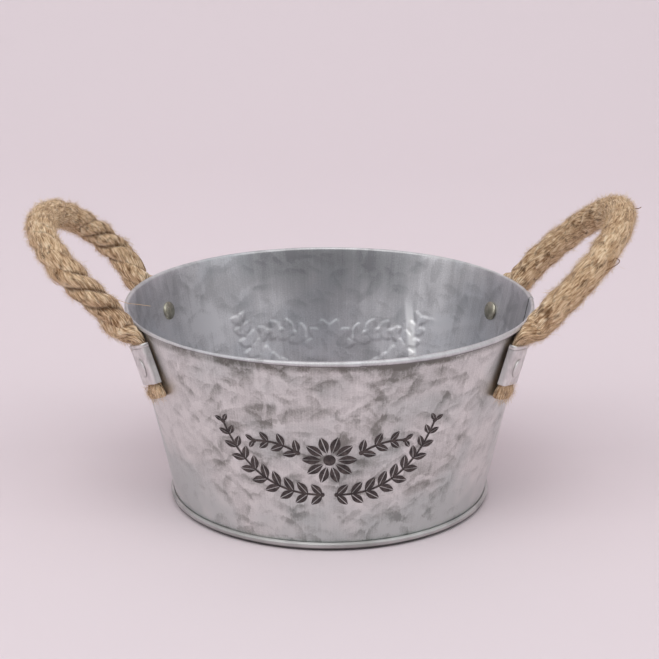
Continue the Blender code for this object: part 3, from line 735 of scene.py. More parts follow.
def inkFinish():
    material, tree = startMaterial("stampingInk")
    sheet = add(tree, "ShaderNodeUVMap", uv_map="sheet")
    wear = add(tree, "ShaderNodeTexNoise", {
        "Vector": sheet, "Scale": perMetre(inkLook["wearMm"]), "Detail": 3.0})
    speck = add(tree, "ShaderNodeTexNoise", {
        "Vector": sheet, "Scale": perMetre(inkLook["speckMm"]), "Detail": 1.0})
    amount = add(tree, "ShaderNodeMath", {0: speck, 1: 0.5, 2: wear}, operation="MULTIPLY_ADD")
    colour = add(tree, "ShaderNodeValToRGB", {0: amount}, stops=[
        (0.62, inkLook["full"]), (1.0, inkLook["rubbed"])])
    bump = add(tree, "ShaderNodeBump", {"Strength": 0.2, "Distance": 0.0001, "Height": speck})
    shader = add(tree, "ShaderNodeBsdfPrincipled", {
        "Base Color": colour, "Roughness": 0.62, "Normal": bump})
    add(tree, "ShaderNodeOutputMaterial", {"Surface": shader})
    return material


inkPoints = []
inkFaces = []
for centre in stampCentres:
    flatInk = motifPoints + np.array([centre, stamp["middle"], 0])
    lift = sheetLift(flatInk[:, 0], flatInk[:, 1])
    flatInk[:, 2] = lift + tub["sheet"] / 2 - stamp["depth"] + stamp["inkLift"]
    inkFaces += [tuple(corner + len(motifPoints) * len(inkPoints) for corner in face) for face in motifFaces]
    inkPoints.append(flatInk)
inkPoints = np.concatenate(inkPoints)
holder = makePiece("flatInk", inkPoints, inkFaces, inkFinish())
giveUv(holder, "sheet", inkPoints[:, :2])
stampInk = runTree(holder, rollSheet, rollValues, "stampInk")
stampInk.data.shade_smooth()
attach(stampInk, "tub")

# Base: a disc double-seamed to the foot of the wall, turned by sweeping its section round a circle

base = {
    "seamHeight": 0.0040,
    "seamPitch": 0.00065,  # sheet to sheet in the seam
    "bend": 0.0007,
    "topBend": 0.0003,
    "topSlope": 0.0009,  # the seam's top falls away from the wall
    "footRise": 0.0014,  # the seam's outer edge stands off the table
    "panelRise": 0.0040,
    "panelBend": 0.0010,
    "bendSteps": 6,
    "sides": 160,
    "sweepRadius": 0.078,
}


def seamPoint(layer, height):
    return Vector((wallRadius(height) + layer * base["seamPitch"], height))


def roundedPath(corners, radii, steps):
    points = [corners[0]]
    for before, corner, after, bend in zip(corners, corners[1:], corners[2:], radii):
        back = (before - corner).normalized()
        ahead = (after - corner).normalized()
        half = back.angle(ahead) / 2
        centre = corner + (back + ahead).normalized() * bend / math.sin(half)
        start = corner + back * bend / math.tan(half) - centre
        end = corner + ahead * bend / math.tan(half) - centre
        sweep = math.pi - 2 * half
        for step in range(steps + 1):
            first = math.sin((1 - step / steps) * sweep)
            second = math.sin(step / steps * sweep)
            points.append(centre + (start * first + end * second) / math.sin(sweep))
    return points + [corners[-1]]


def pathNormals(path):
    normals = []
    for index, point in enumerate(path):
        run = path[min(index + 1, len(path) - 1)] - path[max(index - 1, 0)]
        normals.append(Vector((-run.y, run.x)).normalized())
    return normals


def thickSection(path, thickness):  # closed outline of a sheet whose middle follows the path
    normals = pathNormals(path)
    left = [point + normal * thickness / 2 for point, normal in zip(path, normals)]
    right = [point - normal * thickness / 2 for point, normal in zip(path, normals)]
    return left + right[::-1]


sheetHalf = tub["sheet"] / 2
seamTop = base["seamHeight"] - sheetHalf
panelTop = base["panelRise"] + sheetHalf
basePath = roundedPath(
    [Vector((0, panelTop)), seamPoint(-1, panelTop), seamPoint(-1, sheetHalf), seamPoint(0.8, sheetHalf),
     seamPoint(3, base["footRise"]), seamPoint(3, seamTop - base["topSlope"] / 2),
     seamPoint(0.75, seamTop + base["topSlope"] / 2), seamPoint(0.75, 0.0012)],
    [base["panelBend"]] + [base["bend"]] * 4 + [base["topBend"]], base["bendSteps"])
section = thickSection(basePath, tub["sheet"])

turnedSheet, given = startTree("turnedSheet", {
    "Sides": "NodeSocketInt", "Sweep Radius": "NodeSocketFloat", "Finish": "NodeSocketMaterial"})
circle = add(turnedSheet, "GeometryNodeCurvePrimitiveCircle", {
    "Resolution": given["Sides"], "Radius": given["Sweep Radius"]})
swept = add(turnedSheet, "GeometryNodeCurveToMesh", {"Curve": circle, "Profile Curve": given["Geometry"]})
closed = add(turnedSheet, "GeometryNodeMergeByDistance", {"Geometry": swept, "Distance": 0.00001})
finished = add(turnedSheet, "GeometryNodeSetMaterial", {"Geometry": closed, "Material": given["Finish"]})
add(turnedSheet, "NodeGroupOutput", {0: finished})


baseLook = {"middle": "#BDBBBA", "footShadow": "#3A3535", "crystalMm": 14, "cloudMm": 25, "grainMm": 0.8}


# the base is cut from the same zinc, its pattern running in the disc's flat, with painted shadow where it
# stands
def baseFinish():
    material, tree = startMaterial("galvanisedBase")
    place = add(tree, "ShaderNodeTexCoord", output="Object")
    crystals = add(tree, "ShaderNodeTexVoronoi", {
        "Vector": place, "Scale": perMetre(baseLook["crystalMm"]), "Smoothness": 0.9}, output="Color",
        feature="SMOOTH_F1")
    tone = add(tree, "ShaderNodeSeparateColor", {0: crystals})
    clouds = add(tree, "ShaderNodeTexNoise", {
        "Vector": place, "Scale": perMetre(baseLook["cloudMm"]), "Detail": 3.0})
    grain = add(tree, "ShaderNodeTexNoise", {
        "Vector": place, "Scale": perMetre(baseLook["grainMm"]), "Detail": 2.0})
    spread = add(tree, "ShaderNodeMath", {0: tone, 1: 0.4, 2: clouds}, operation="MULTIPLY_ADD")
    colour = add(tree, "ShaderNodeValToRGB", {0: spread}, stops=[
        (0.45, weatheredZinc["mid"]), (0.85, weatheredZinc["light"]), (0.65, baseLook["middle"])])
    height = add(tree, "ShaderNodeSeparateXYZ", {0: place}, output="Z")
    # painted shadow along the foot, where the seam stands on the table
    footShadow = add(tree, "ShaderNodeMapRange", {0: height, 1: 0.0021, 2: 0.0015, 3: 0.0, 4: 0.85})
    colour = add(tree, "ShaderNodeMix", {0: footShadow, 6: colour, 7: linear(baseLook["footShadow"])}, output=2,
                 data_type="RGBA")
    rough = add(tree, "ShaderNodeMapRange", {0: spread, 1: 0.4, 2: 0.9, 3: 0.66, 4: 0.54})
    bump = add(tree, "ShaderNodeBump", {"Strength": 0.1, "Distance": 0.0002, "Height": grain})
    shader = add(tree, "ShaderNodeBsdfPrincipled", {
        "Base Color": colour, "Metallic": 1.0, "Roughness": rough, "Normal": bump})
    add(tree, "ShaderNodeOutputMaterial", {"Surface": shader})
    return material


profile = bpy.data.curves.new("baseSection", "CURVE")
profile.dimensions = "3D"
spline = profile.splines.new("POLY")
spline.points.add(len(section) - 1)
for point, place in zip(spline.points, section):
    point.co = (place.x - base["sweepRadius"], -place.y, 0, 1)
spline.use_cyclic_u = False
holder = putIn("baseSection", profile)
tubBase = runTree(holder, turnedSheet, {
    "Sides": base["sides"], "Sweep Radius": base["sweepRadius"], "Finish": baseFinish()}, "tubBase")
bm = bmesh.new()
bm.from_mesh(tubBase.data)
bmesh.ops.recalc_face_normals(bm, faces=bm.faces)
bm.to_mesh(tubBase.data)
bm.free()
tubBase.data.shade_smooth()
tubBase.data.set_sharp_from_angle(angle=math.radians(50))
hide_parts("base_plate")
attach(tubBase, "tub")
print("base", len(tubBase.data.polygons), "faces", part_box("base_plate"),
      readPoints(tubBase.data).min(0), readPoints(tubBase.data).max(0))

# Clips and rivets: four pressed channels, each held by one rivet through rope and wall

clip = {
    "rivetDrop": 0.0195,  # below the rim
    "rivetSpread": 0.0886,  # front rivet to back rivet
    "width": 0.020,
    "length": 0.020,
    "riseOverRivet": 0.0015,
    "depth": 0.0050,
    "sheet": 0.0007,
    "corner": 0.0019,
    "sideGap": 0.0013,
    "lip": 0.0021,
    "lipRise": 0.00022,
    "crease": 0.0005,  # depth of the pressed line under the lip
    "crown": 0.00012,  # soft swell of the face over the rope
    "edgeRound": 0.00018,
}
rivet = {
    "outerDiameter": 0.0094, "outerHeight": 0.0011, "outerSeat": 0.0050,
    "innerDiameter": 0.0094, "innerHeight": 0.0017, "innerSeat": -0.00035,
    "sides": 40,
}
handles = {
    "left": {
        "side": -1, "lean": math.radians(19), "rise": math.radians(45.5), "grooves": 0.85, "seed": 11,
        "route": [  # mm out from the bend, from the middle, over the straight line to the tip
            (0, 41, 0), (10, 43.3, 2.1), (20, 44.9, 2.4), (30, 44.2, 2.1), (39.2, 40.5, 1.6),
            (47.4, 33, 1), (53.5, 23.5, 0.5), (56.8, 12, 0.1), (57.6, 0, 0)],
    },
    "right": {
        "side": 1, "lean": math.radians(12), "rise": math.radians(46.6), "grooves": 0.12, "seed": 23,
        "route": [
            (0, 41, 0), (12, 41.4, 0.7), (25.2, 39.7, 0.3), (36.4, 36, 0), (46.6, 29.5, 0),
            (54.7, 20.5, 0), (60.2, 10.5, 0), (62, 0, 0)],
    },
}


def clipPlace(side, front, lean):  # X across the clip, Y up along it, Z out of the wall
    height = tubHeight - clip["rivetDrop"]
    radius = wallRadius(height) + tub["sheet"] / 2 / math.cos(taper)
    swing = math.asin(clip["rivetSpread"] / 2 / radius)
    spoke = Vector((side * math.cos(swing), front * math.sin(swing), 0))
    around = Vector((-side * math.sin(swing), front * math.cos(swing), 0))
    up = spoke * math.sin(taper) + Vector((0, 0, math.cos(taper)))
    out = spoke * math.cos(taper) - Vector((0, 0, math.sin(taper)))
    along = up * math.cos(lean) - around * math.sin(lean)
    place = Matrix((along.cross(out), along, out)).transposed().to_4x4()
    place.translation = spoke * radius + Vector((0, 0, height))
    return place


# zinc-plated steel strip: bright and clean, faint drawing lines, softened at the pressed corners
platedLook = {"bright": "#E3E1DF", "dull": "#C8C5C4", "drawnMm": 0.8, "cloudMm": 6}
# yellow-passivated zinc on steel: olive gold with a hard bright edge
passivatedLook = {"bright": "#BDB9A9", "dull": "#918E7F", "drawnMm": 1.5, "cloudMm": 3}


def platedFinish(name, look, roughness):
    material, tree = startMaterial(name)
    place = add(tree, "ShaderNodeTexCoord", output="Object")
    clouds = add(tree, "ShaderNodeTexNoise", {
        "Vector": place, "Scale": perMetre(look["cloudMm"]), "Detail": 3.0})
    squeezed = add(tree, "ShaderNodeMapping", {"Vector": place, "Scale": (1.0, 1.0, 0.08)})
    drawn = add(tree, "ShaderNodeTexNoise", {
        "Vector": squeezed, "Scale": perMetre(look["drawnMm"]), "Detail": 2.0})
    tone = add(tree, "ShaderNodeMath", {0: drawn, 1: 0.35, 2: clouds}, operation="MULTIPLY_ADD")
    colour = add(tree, "ShaderNodeValToRGB", {0: tone}, stops=[(0.45, look["dull"]), (0.8, look["bright"])])
    rough = add(tree, "ShaderNodeMapRange", {
        0: tone, 1: 0.4, 2: 0.9, 3: roughness + 0.08, 4: roughness - 0.04})
    bump = add(tree, "ShaderNodeBump", {"Strength": 0.03, "Distance": 0.0001, "Height": drawn})
    shader = add(tree, "ShaderNodeBsdfPrincipled", {
        "Base Color": colour, "Metallic": 1.0, "Roughness": rough, "Normal": bump})
    add(tree, "ShaderNodeOutputMaterial", {"Surface": shader})
    return material


clipFinish = platedFinish("zincPlatedStrip", platedLook, 0.42)
rivetFinish = platedFinish("yellowZincRivet", passivatedLook, 0.30)

fastened, given = startTree("fastened", {"Part": "NodeSocketObject", "Finish": "NodeSocketMaterial"})
part = add(fastened, "GeometryNodeObjectInfo", {"Object": given["Part"], "As Instance": True},
           output="Geometry")
aim = add(fastened, "GeometryNodeInputNamedAttribute", {"Name": "aim"}, data_type="FLOAT_VECTOR")
facing = add(fastened, "FunctionNodeEulerToRotation", {0: aim})
placed = add(fastened, "GeometryNodeInstanceOnPoints", {
    "Points": given["Geometry"], "Instance": part, "Rotation": facing})
solid = add(fastened, "GeometryNodeRealizeInstances", {0: placed})
finished = add(fastened, "GeometryNodeSetMaterial", {"Geometry": solid, "Material": given["Finish"]})
add(fastened, "NodeGroupOutput", {0: finished})


def fasten(name, part, finish, places):
    holder = makePiece(name + "Points", [place.translation for place in places], [], finish)
    giveDirection(holder, "aim", [place.to_euler("XYZ") for place in places])
    piece = runTree(holder, fastened, {"Part": part, "Finish": finish}, name)
    bpy.data.objects.remove(part)
    piece.data.shade_smooth()
    piece.data.set_sharp_from_angle(angle=math.radians(40))
    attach(piece, "tub")
    return piece


def clipStrip():  # the channel section carried round the outline of the strip's thickness
    face = clip["depth"] - clip["sheet"] / 2
    halfWidth = (clip["width"] - clip["sheet"]) / 2
    corners = [Vector((-halfWidth, clip["sideGap"])), Vector((-halfWidth, face)),
               Vector((0, face + clip["crown"])), Vector((halfWidth, face)),
               Vector((halfWidth, clip["sideGap"]))]
    section = roundedPath(corners, [clip["corner"], 0.012, clip["corner"]], 8)
    normals = pathNormals(section)
    top = clip["riseOverRivet"] + clip["length"] / 2
    bottom = clip["riseOverRivet"] - clip["length"] / 2
    crease = top - clip["lip"]
    half = clip["sheet"] / 2
    soft = clip["edgeRound"]
    proud = half + clip["lipRise"]
    # level, off the sheet's middle
    outline = [(bottom, soft - half), (bottom, half - soft), (bottom + soft, half)]
    outline += [(level, half) for level in np.linspace(bottom, crease, 7)[1:-1]]
    outline += [(crease - 0.00035, half), (crease - 0.00014, half - 0.00003),
                (crease - 0.0001, half - clip["crease"]), (crease + 0.0001, half - clip["crease"]),
                (crease + 0.00014, half + 0.00008), (crease + 0.0004, proud)]
    outline += [(top - 0.0007, proud), (top - 0.00025, proud - 0.00012), (top, half - 0.0002),
                (top, soft - half), (top - soft, -half), (bottom + soft, -half)]
    points = [(place.x + normal.x * off, level, place.y + normal.y * off)
              for place, normal in zip(section, normals) for level, off in outline]
    index = np.arange(len(points)).reshape(len(section), len(outline))
    beyond = np.roll(index, -1, axis=1)
    quads = np.stack([index[:-1], index[1:], beyond[1:], beyond[:-1]], -1).reshape(-1, 4)
    feet = [tuple(index[0]), tuple(index[-1][::-1])]
    return makePiece("clipStrip", points, quads.tolist() + feet, clipFinish)


def turnedHead(name, outline, finish):  # outline in radius and height, ending on the axis
    turns = np.arange(rivet["sides"]) * 2 * math.pi / rivet["sides"]
    points = [(r * math.cos(t), r * math.sin(t), z) for r, z in outline[:-1] for t in turns]
    index = np.arange(len(points)).reshape(len(outline) - 1, rivet["sides"])
    beside = np.roll(index, -1, axis=1)
    quads = np.stack([index[:-1], beside[:-1], beside[1:], index[1:]], -1).reshape(-1, 4)
    points.append((0, 0, outline[-1][1]))
    fan = [(a, b, len(points) - 1) for a, b in zip(index[-1], beside[-1])]
    return makePiece(name, points, quads.tolist() + fan + [tuple(index[0][::-1])], finish)


def outerHead():  # low and nearly flat, with a rounded edge and a faint ring
    radius = rivet["outerDiameter"] / 2
    seat = rivet["outerSeat"]
    rise = rivet["outerHeight"]
    outline = [(0.0021, seat - 0.0012), (0.0021, seat), (radius - 0.0003, seat), (radius, seat + 0.30 * rise)]
    outline += [(radius - 0.0002, seat + 0.62 * rise), (radius - 0.0006, seat + 0.82 * rise),
                (radius - 0.0013, seat + 0.93 * rise), (0.0016, seat + rise), (0, seat + rise)]
    return turnedHead("outerHead", outline, clipFinish)


def innerHead():  # domed, set off the sheet by a small step
    radius = rivet["innerDiameter"] / 2
    seat = rivet["innerSeat"]
    outline = [(0.0021, seat + 0.0004), (radius - 0.0002, seat), (radius, seat - 0.0003),
               (radius, seat - 0.0006)]
    for step in range(1, 9):
        angle = step / 9 * math.pi / 2
        fall = 0.0006 + (rivet["innerHeight"] - 0.0006) * math.sin(angle)
        outline.append((radius * math.cos(angle), seat - fall))
    outline.append((0, seat - rivet["innerHeight"]))
    head = turnedHead("innerHead", outline, rivetFinish)
    head.data.flip_normals()
    return head


clipEnds = [(hand, end) for hand in handles for end in ("front", "back")]
clipPlaces = {}
for hand, end in clipEnds:
    handle = handles[hand]
    clipPlaces[hand, end] = clipPlace(handle["side"], -1 if end == "front" else 1, handle["lean"])
places = list(clipPlaces.values())
clips = fasten("clips", clipStrip(), clipFinish, places)
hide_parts(*[f"{hand}_{end}_clip" for hand, end in clipEnds])
rivetNodes = [f"{hand}_{end}_rivet" for hand, end in clipEnds]
outerHeads = fasten("rivetOuterHeads", outerHead(), clipFinish, places)
innerHeads = fasten("rivetInnerHeads", innerHead(), rivetFinish, places)
for heads in (outerHeads, innerHeads):
    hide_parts(*rivetNodes)
print("clips and rivets", len(clips.data.polygons), len(outerHeads.data.polygons), "faces")

# Rope handles: three-strand jute, left-hand lay, pressed flat under the clips

rope = {
    "diameter": 0.0136,
    "lay": 0.036,  # length of one turn of a strand
    "strand": 0.0041,  # radius, where the grooves are deep
    "looseStrand": 0.0056,  # radius, where the strands have felted together
    "yarns": 9,  # ridges round a strand
    "yarnLean": 1.2,  # yarns turn back against the lay, so that they run nearly along the rope
    "yarnRelief": 0.00015,
    "lumps": 0.0006,  # uneven spinning
    "flatWidth": 0.018,
    "flatThickness": 0.0037,
    "rimGap": 0.00012,  # between the rope and the rim it presses on
    "pressSoftness": 0.0006,
    "fuller": 0.7,  # share the rope swells into the corner under the rim
    "tail": 0.0072,
    "tailWidth": 0.0210,  # the cut end springs back
    "tailThickness": 0.0072,
    "tailRound": 0.0016,
    "step": 0.0006,
    "ringPoints": 36,
}
ropeHair = {
    "lyingDensity": 2000000.0,  # per square metre
    "lyingLength": 0.0050,
    "flyDensity": 1700000.0,
    "flyLength": 0.0025,
    "strayDensity": 2600.0,
    "strayLength": 0.008,
    "looseWidth": {"left": 0.00026, "right": 0.00042},  # fibres long enough to be told apart
    "loose": {  # points in mm
        "left": [
            [(-104.5, -45.8, 114.9), (-102.4, -46.6, 114.5), (-98.7, -47.0, 113.1), (-94.5, -47.0, 111.6),
             (-91.7, -47.0, 111.2), (-87.5, -47.0, 110.7), (-83.6, -47.0, 110.1)],
            [(-131.2, -43.9, 126.8), (-130.3, -44.9, 123.7), (-128.4, -45.7, 121.0), (-126.5, -46.0, 120.1),
             (-125.1, -45.8, 120.6)]],
        "right": [
            [(141.5, -4.2, 144.8), (146.1, -4.0, 146.3), (148.0, -4.0, 146.6), (149.7, -4.0, 146.7),
             (150.9, -4.0, 147.4)],
            [(129.8, -39.0, 125.0), (132.7, -38.4, 126.6), (134.8, -38.0, 127.7), (136.0, -38.0, 129.1),
             (135.8, -38.0, 130.1), (134.4, -38.0, 130.9)]],
    },
    "looseShade": {"left": 0.5, "right": 0.0},
}


# jute: dull straw brown, each yarn a little different, painted shade in the grooves, hairy and never glossy
juteLook = {
    "shadow": "#55371B", "deep": "#7D5B39", "body": "#B79674", "straw": "#DEC3A0", "pale": "#F5E4C8",
    "tip": "#E6D2B0",  # the palest loose fibre
    # size in mm, length against it, weight; fibres are finer, drawn this coarse to show
    "fibres": ((0.35, 0.10, 0.50), (0.8, 0.12, 0.45), (2.0, 0.3, 0.25), (14, 1.0, 0.22)),
    "pitMm": 2.0,
}


def juteFinish():
    material, tree = startMaterial("juteRope")
    lay = add(tree, "ShaderNodeUVMap", uv_map="lay")
    tone = 0.0
    relief = 0.0
    for size, squeeze, weight in juteLook["fibres"]:
        combed = add(tree, "ShaderNodeMapping", {"Vector": lay, "Scale": (1.0, squeeze, 1.0)})
        fibre = add(tree, "ShaderNodeTexNoise", {"Vector": combed, "Scale": perMetre(size), "Detail": 3.0})
        tone = add(tree, "ShaderNodeMath", {0: fibre, 1: weight, 2: tone}, operation="MULTIPLY_ADD")
        if size < 5:
            relief = add(tree, "ShaderNodeMath", {0: fibre, 1: weight, 2: relief}, operation="MULTIPLY_ADD")
    colour = add(tree, "ShaderNodeValToRGB", {0: tone}, stops=[
        (0.59, juteLook["deep"]), (0.84, juteLook["pale"]), (0.67, juteLook["body"]),
        (0.75, juteLook["straw"])])
    combed = add(tree, "ShaderNodeMapping", {"Vector": lay, "Scale": (1.0, 0.4, 1.0)})
    pits = add(tree, "ShaderNodeTexNoise", {
        "Vector": combed, "Scale": perMetre(juteLook["pitMm"]), "Detail": 2.0})
    pits = add(tree, "ShaderNodeMapRange", {0: pits, 1: 0.52, 2: 0.70, 3: 0.0, 4: 0.85})
    # painted shade, deepest in the grooves between strands and in the pits between yarns
    crown = add(tree, "ShaderNodeAttribute", output="Fac", attribute_name="crown")
    depth = add(tree, "ShaderNodeMapRange", {0: crown, 1: 0.0, 2: 0.6, 3: 0.9, 4: 0.0})
    depth = add(tree, "ShaderNodeMath", {0: depth, 1: pits}, operation="MAXIMUM")
    shaded = add(tree, "ShaderNodeMix", {0: depth, 6: colour, 7: linear(juteLook["shadow"])}, output=2,
                 data_type="RGBA")
    bump = add(tree, "ShaderNodeBump", {"Strength": 0.8, "Distance": 0.0006, "Height": relief})
    shader = add(tree, "ShaderNodeBsdfPrincipled", {
        "Base Color": shaded, "Roughness": 0.92, "Specular IOR Level": 0.2, "Sheen Weight": 0.15,
        "Sheen Roughness": 0.6, "Normal": bump})
    add(tree, "ShaderNodeOutputMaterial", {"Surface": shader})
    return material


# loose jute fibre: thin, dry, from pale straw to brown
def fibreFinish():
    material, tree = startMaterial("juteFibre")
    shade = add(tree, "ShaderNodeAttribute", output="Fac", attribute_name="shade")
    colour = add(tree, "ShaderNodeValToRGB", {0: shade}, stops=[
        (0.0, juteLook["deep"]), (1.0, juteLook["tip"]), (0.35, juteLook["body"]), (0.7, juteLook["straw"])])
    shader = add(tree, "ShaderNodeBsdfPrincipled", {
        "Base Color": colour, "Roughness": 0.85, "Specular IOR Level": 0.25})
    add(tree, "ShaderNodeOutputMaterial", {"Surface": shader})
    return material


juteRope = juteFinish()
juteFibre = fibreFinish()


def splinePoints(knots, steps):  # smooth curve through the knots
    knots = np.asarray(knots, float)
    guide = np.concatenate([[2 * knots[0] - knots[1]], knots, [2 * knots[-1] - knots[-2]]])
    share = (np.arange(steps) / steps)[:, None]
    runs = []
    for p, q, r, s in zip(guide, guide[1:], guide[2:], guide[3:]):
        runs.append(q + (r - p) * share / 2 + (2 * p - 5 * q + 4 * r - s) * share ** 2 / 2
                    + (3 * q - p - 3 * r + s) * share ** 3 / 2)
    return np.concatenate(runs + [knots[-1:]])


def alongLine(points):
    return np.concatenate([[0], np.cumsum(np.linalg.norm(np.diff(points, axis=0), axis=1))])


def resample(points, step, *others):  # even steps, with other rows carried along
    travelled = alongLine(points)
    count = int(round(travelled[-1] / step)) + 1
    even = np.linspace(0, travelled[-1], count)
    return [np.stack([np.interp(even, travelled, column) for column in rows.T], -1)
            for rows in (points, *others)]


def unit(rows):
    return rows / np.linalg.norm(rows, axis=-1, keepdims=True)


def bendPlace(handle):  # the joint's own place, at the rim, over the front leg
    name = "left_rope_bend" if handle["side"] < 0 else "right_rope_bend"
    joint = next(joint for joint in frame["joints"] if joint["name"] == name)
    place = Vector(joint["pos_m"])
    return np.array([place.x, -handle["route"][0][1] / 1000, place.z])


def ropeLeg(place, bend, leave):  # cut end to rim: centre, wide direction
    across, along, out = (np.array(place.col[i].to_3d()) for i in range(3))
    middle = np.array(place.translation) + out * (0.0003 + rope["flatThickness"] / 2)
    top = clip["riseOverRivet"] + clip["length"] / 2
    bottom = clip["riseOverRivet"] - clip["length"] / 2
    tail = middle + along * (bottom - rope["tail"])
    mouth = middle + along * (top - clip["lip"])
    pull = np.linalg.norm(bend - mouth) / 3
    share = np.linspace(0, 1, 9)[:, None]
    first, second = mouth + along * pull, bend - leave * pull
    curve = (mouth * (1 - share) ** 3 + first * 3 * share * (1 - share) ** 2
             + second * 3 * share ** 2 * (1 - share) + bend * share ** 3)
    straight = tail + (mouth - tail) * np.linspace(0, 1, 12)[:-1, None]
    beside = np.array([0, math.copysign(1, across[1]), 0])
    turning = smoothstep(0.35, 1, share)
    pressedWide = np.repeat(across[None], len(straight), 0)
    wide = np.concatenate([pressedWide, across * (1 - turning) + beside * turning])
    return np.concatenate([straight, curve]), wide


def ropeLine(hand):
    handle = handles[hand]
    side, rise = handle["side"], handle["rise"]
    leave = np.array([side * math.cos(rise), 0, math.sin(rise)])
    lifted = np.array([-side * math.sin(rise), 0, math.cos(rise)])
    bend = bendPlace(handle)
    half = [bend + leave * out / 1000 + lifted * lift / 1000 + np.array([0, 0.041 - across / 1000, 0])
            for out, across, lift in handle["route"]]
    mirror = np.array([1, -1, 1])
    loop = splinePoints(half + [point * mirror for point in half[-2::-1]], 10)
    ahead = unit(np.gradient(loop, axis=0))
    loopWide = unit(np.cross(lifted, ahead))
    front, frontWide = ropeLeg(clipPlaces[hand, "front"], bend, leave)
    back, backWide = ropeLeg(clipPlaces[hand, "back"], bend * mirror, leave)
    points = np.concatenate([front[:-1], loop, back[-2::-1]])
    wide = np.concatenate([frontWide[:-1], loopWide, -backWide[-2::-1]])
    points, wide = resample(points, rope["step"], wide)
    return points, wide, alongLine(front)[-1], alongLine(back)[-1], leave


def roomToTub(starts, through):  # how far each start may go before it meets the wall or the rim
    room = np.full(starts.shape[:2], 1.0)
    for step in np.arange(0.0090, -0.0001, -0.0002):
        place = starts + through[:, None] * step
        ring = np.hypot(place[..., 0], place[..., 1])
        off = np.hypot(ring - beadRadius, place[..., 2] - beadHeight)
        outside = wallRadius(place[..., 2]) + tub["sheet"] / 2 / math.cos(taper) + rope["rimGap"]
        met = (off < tub["bead"] / 2 + rope["rimGap"]) | ((ring < outside) & (place[..., 2] < beadHeight))
        met |= (ring < rimRadius) & (place[..., 2] >= beadHeight)  # never over the rim
        room = np.where(met, step, room)
    return room


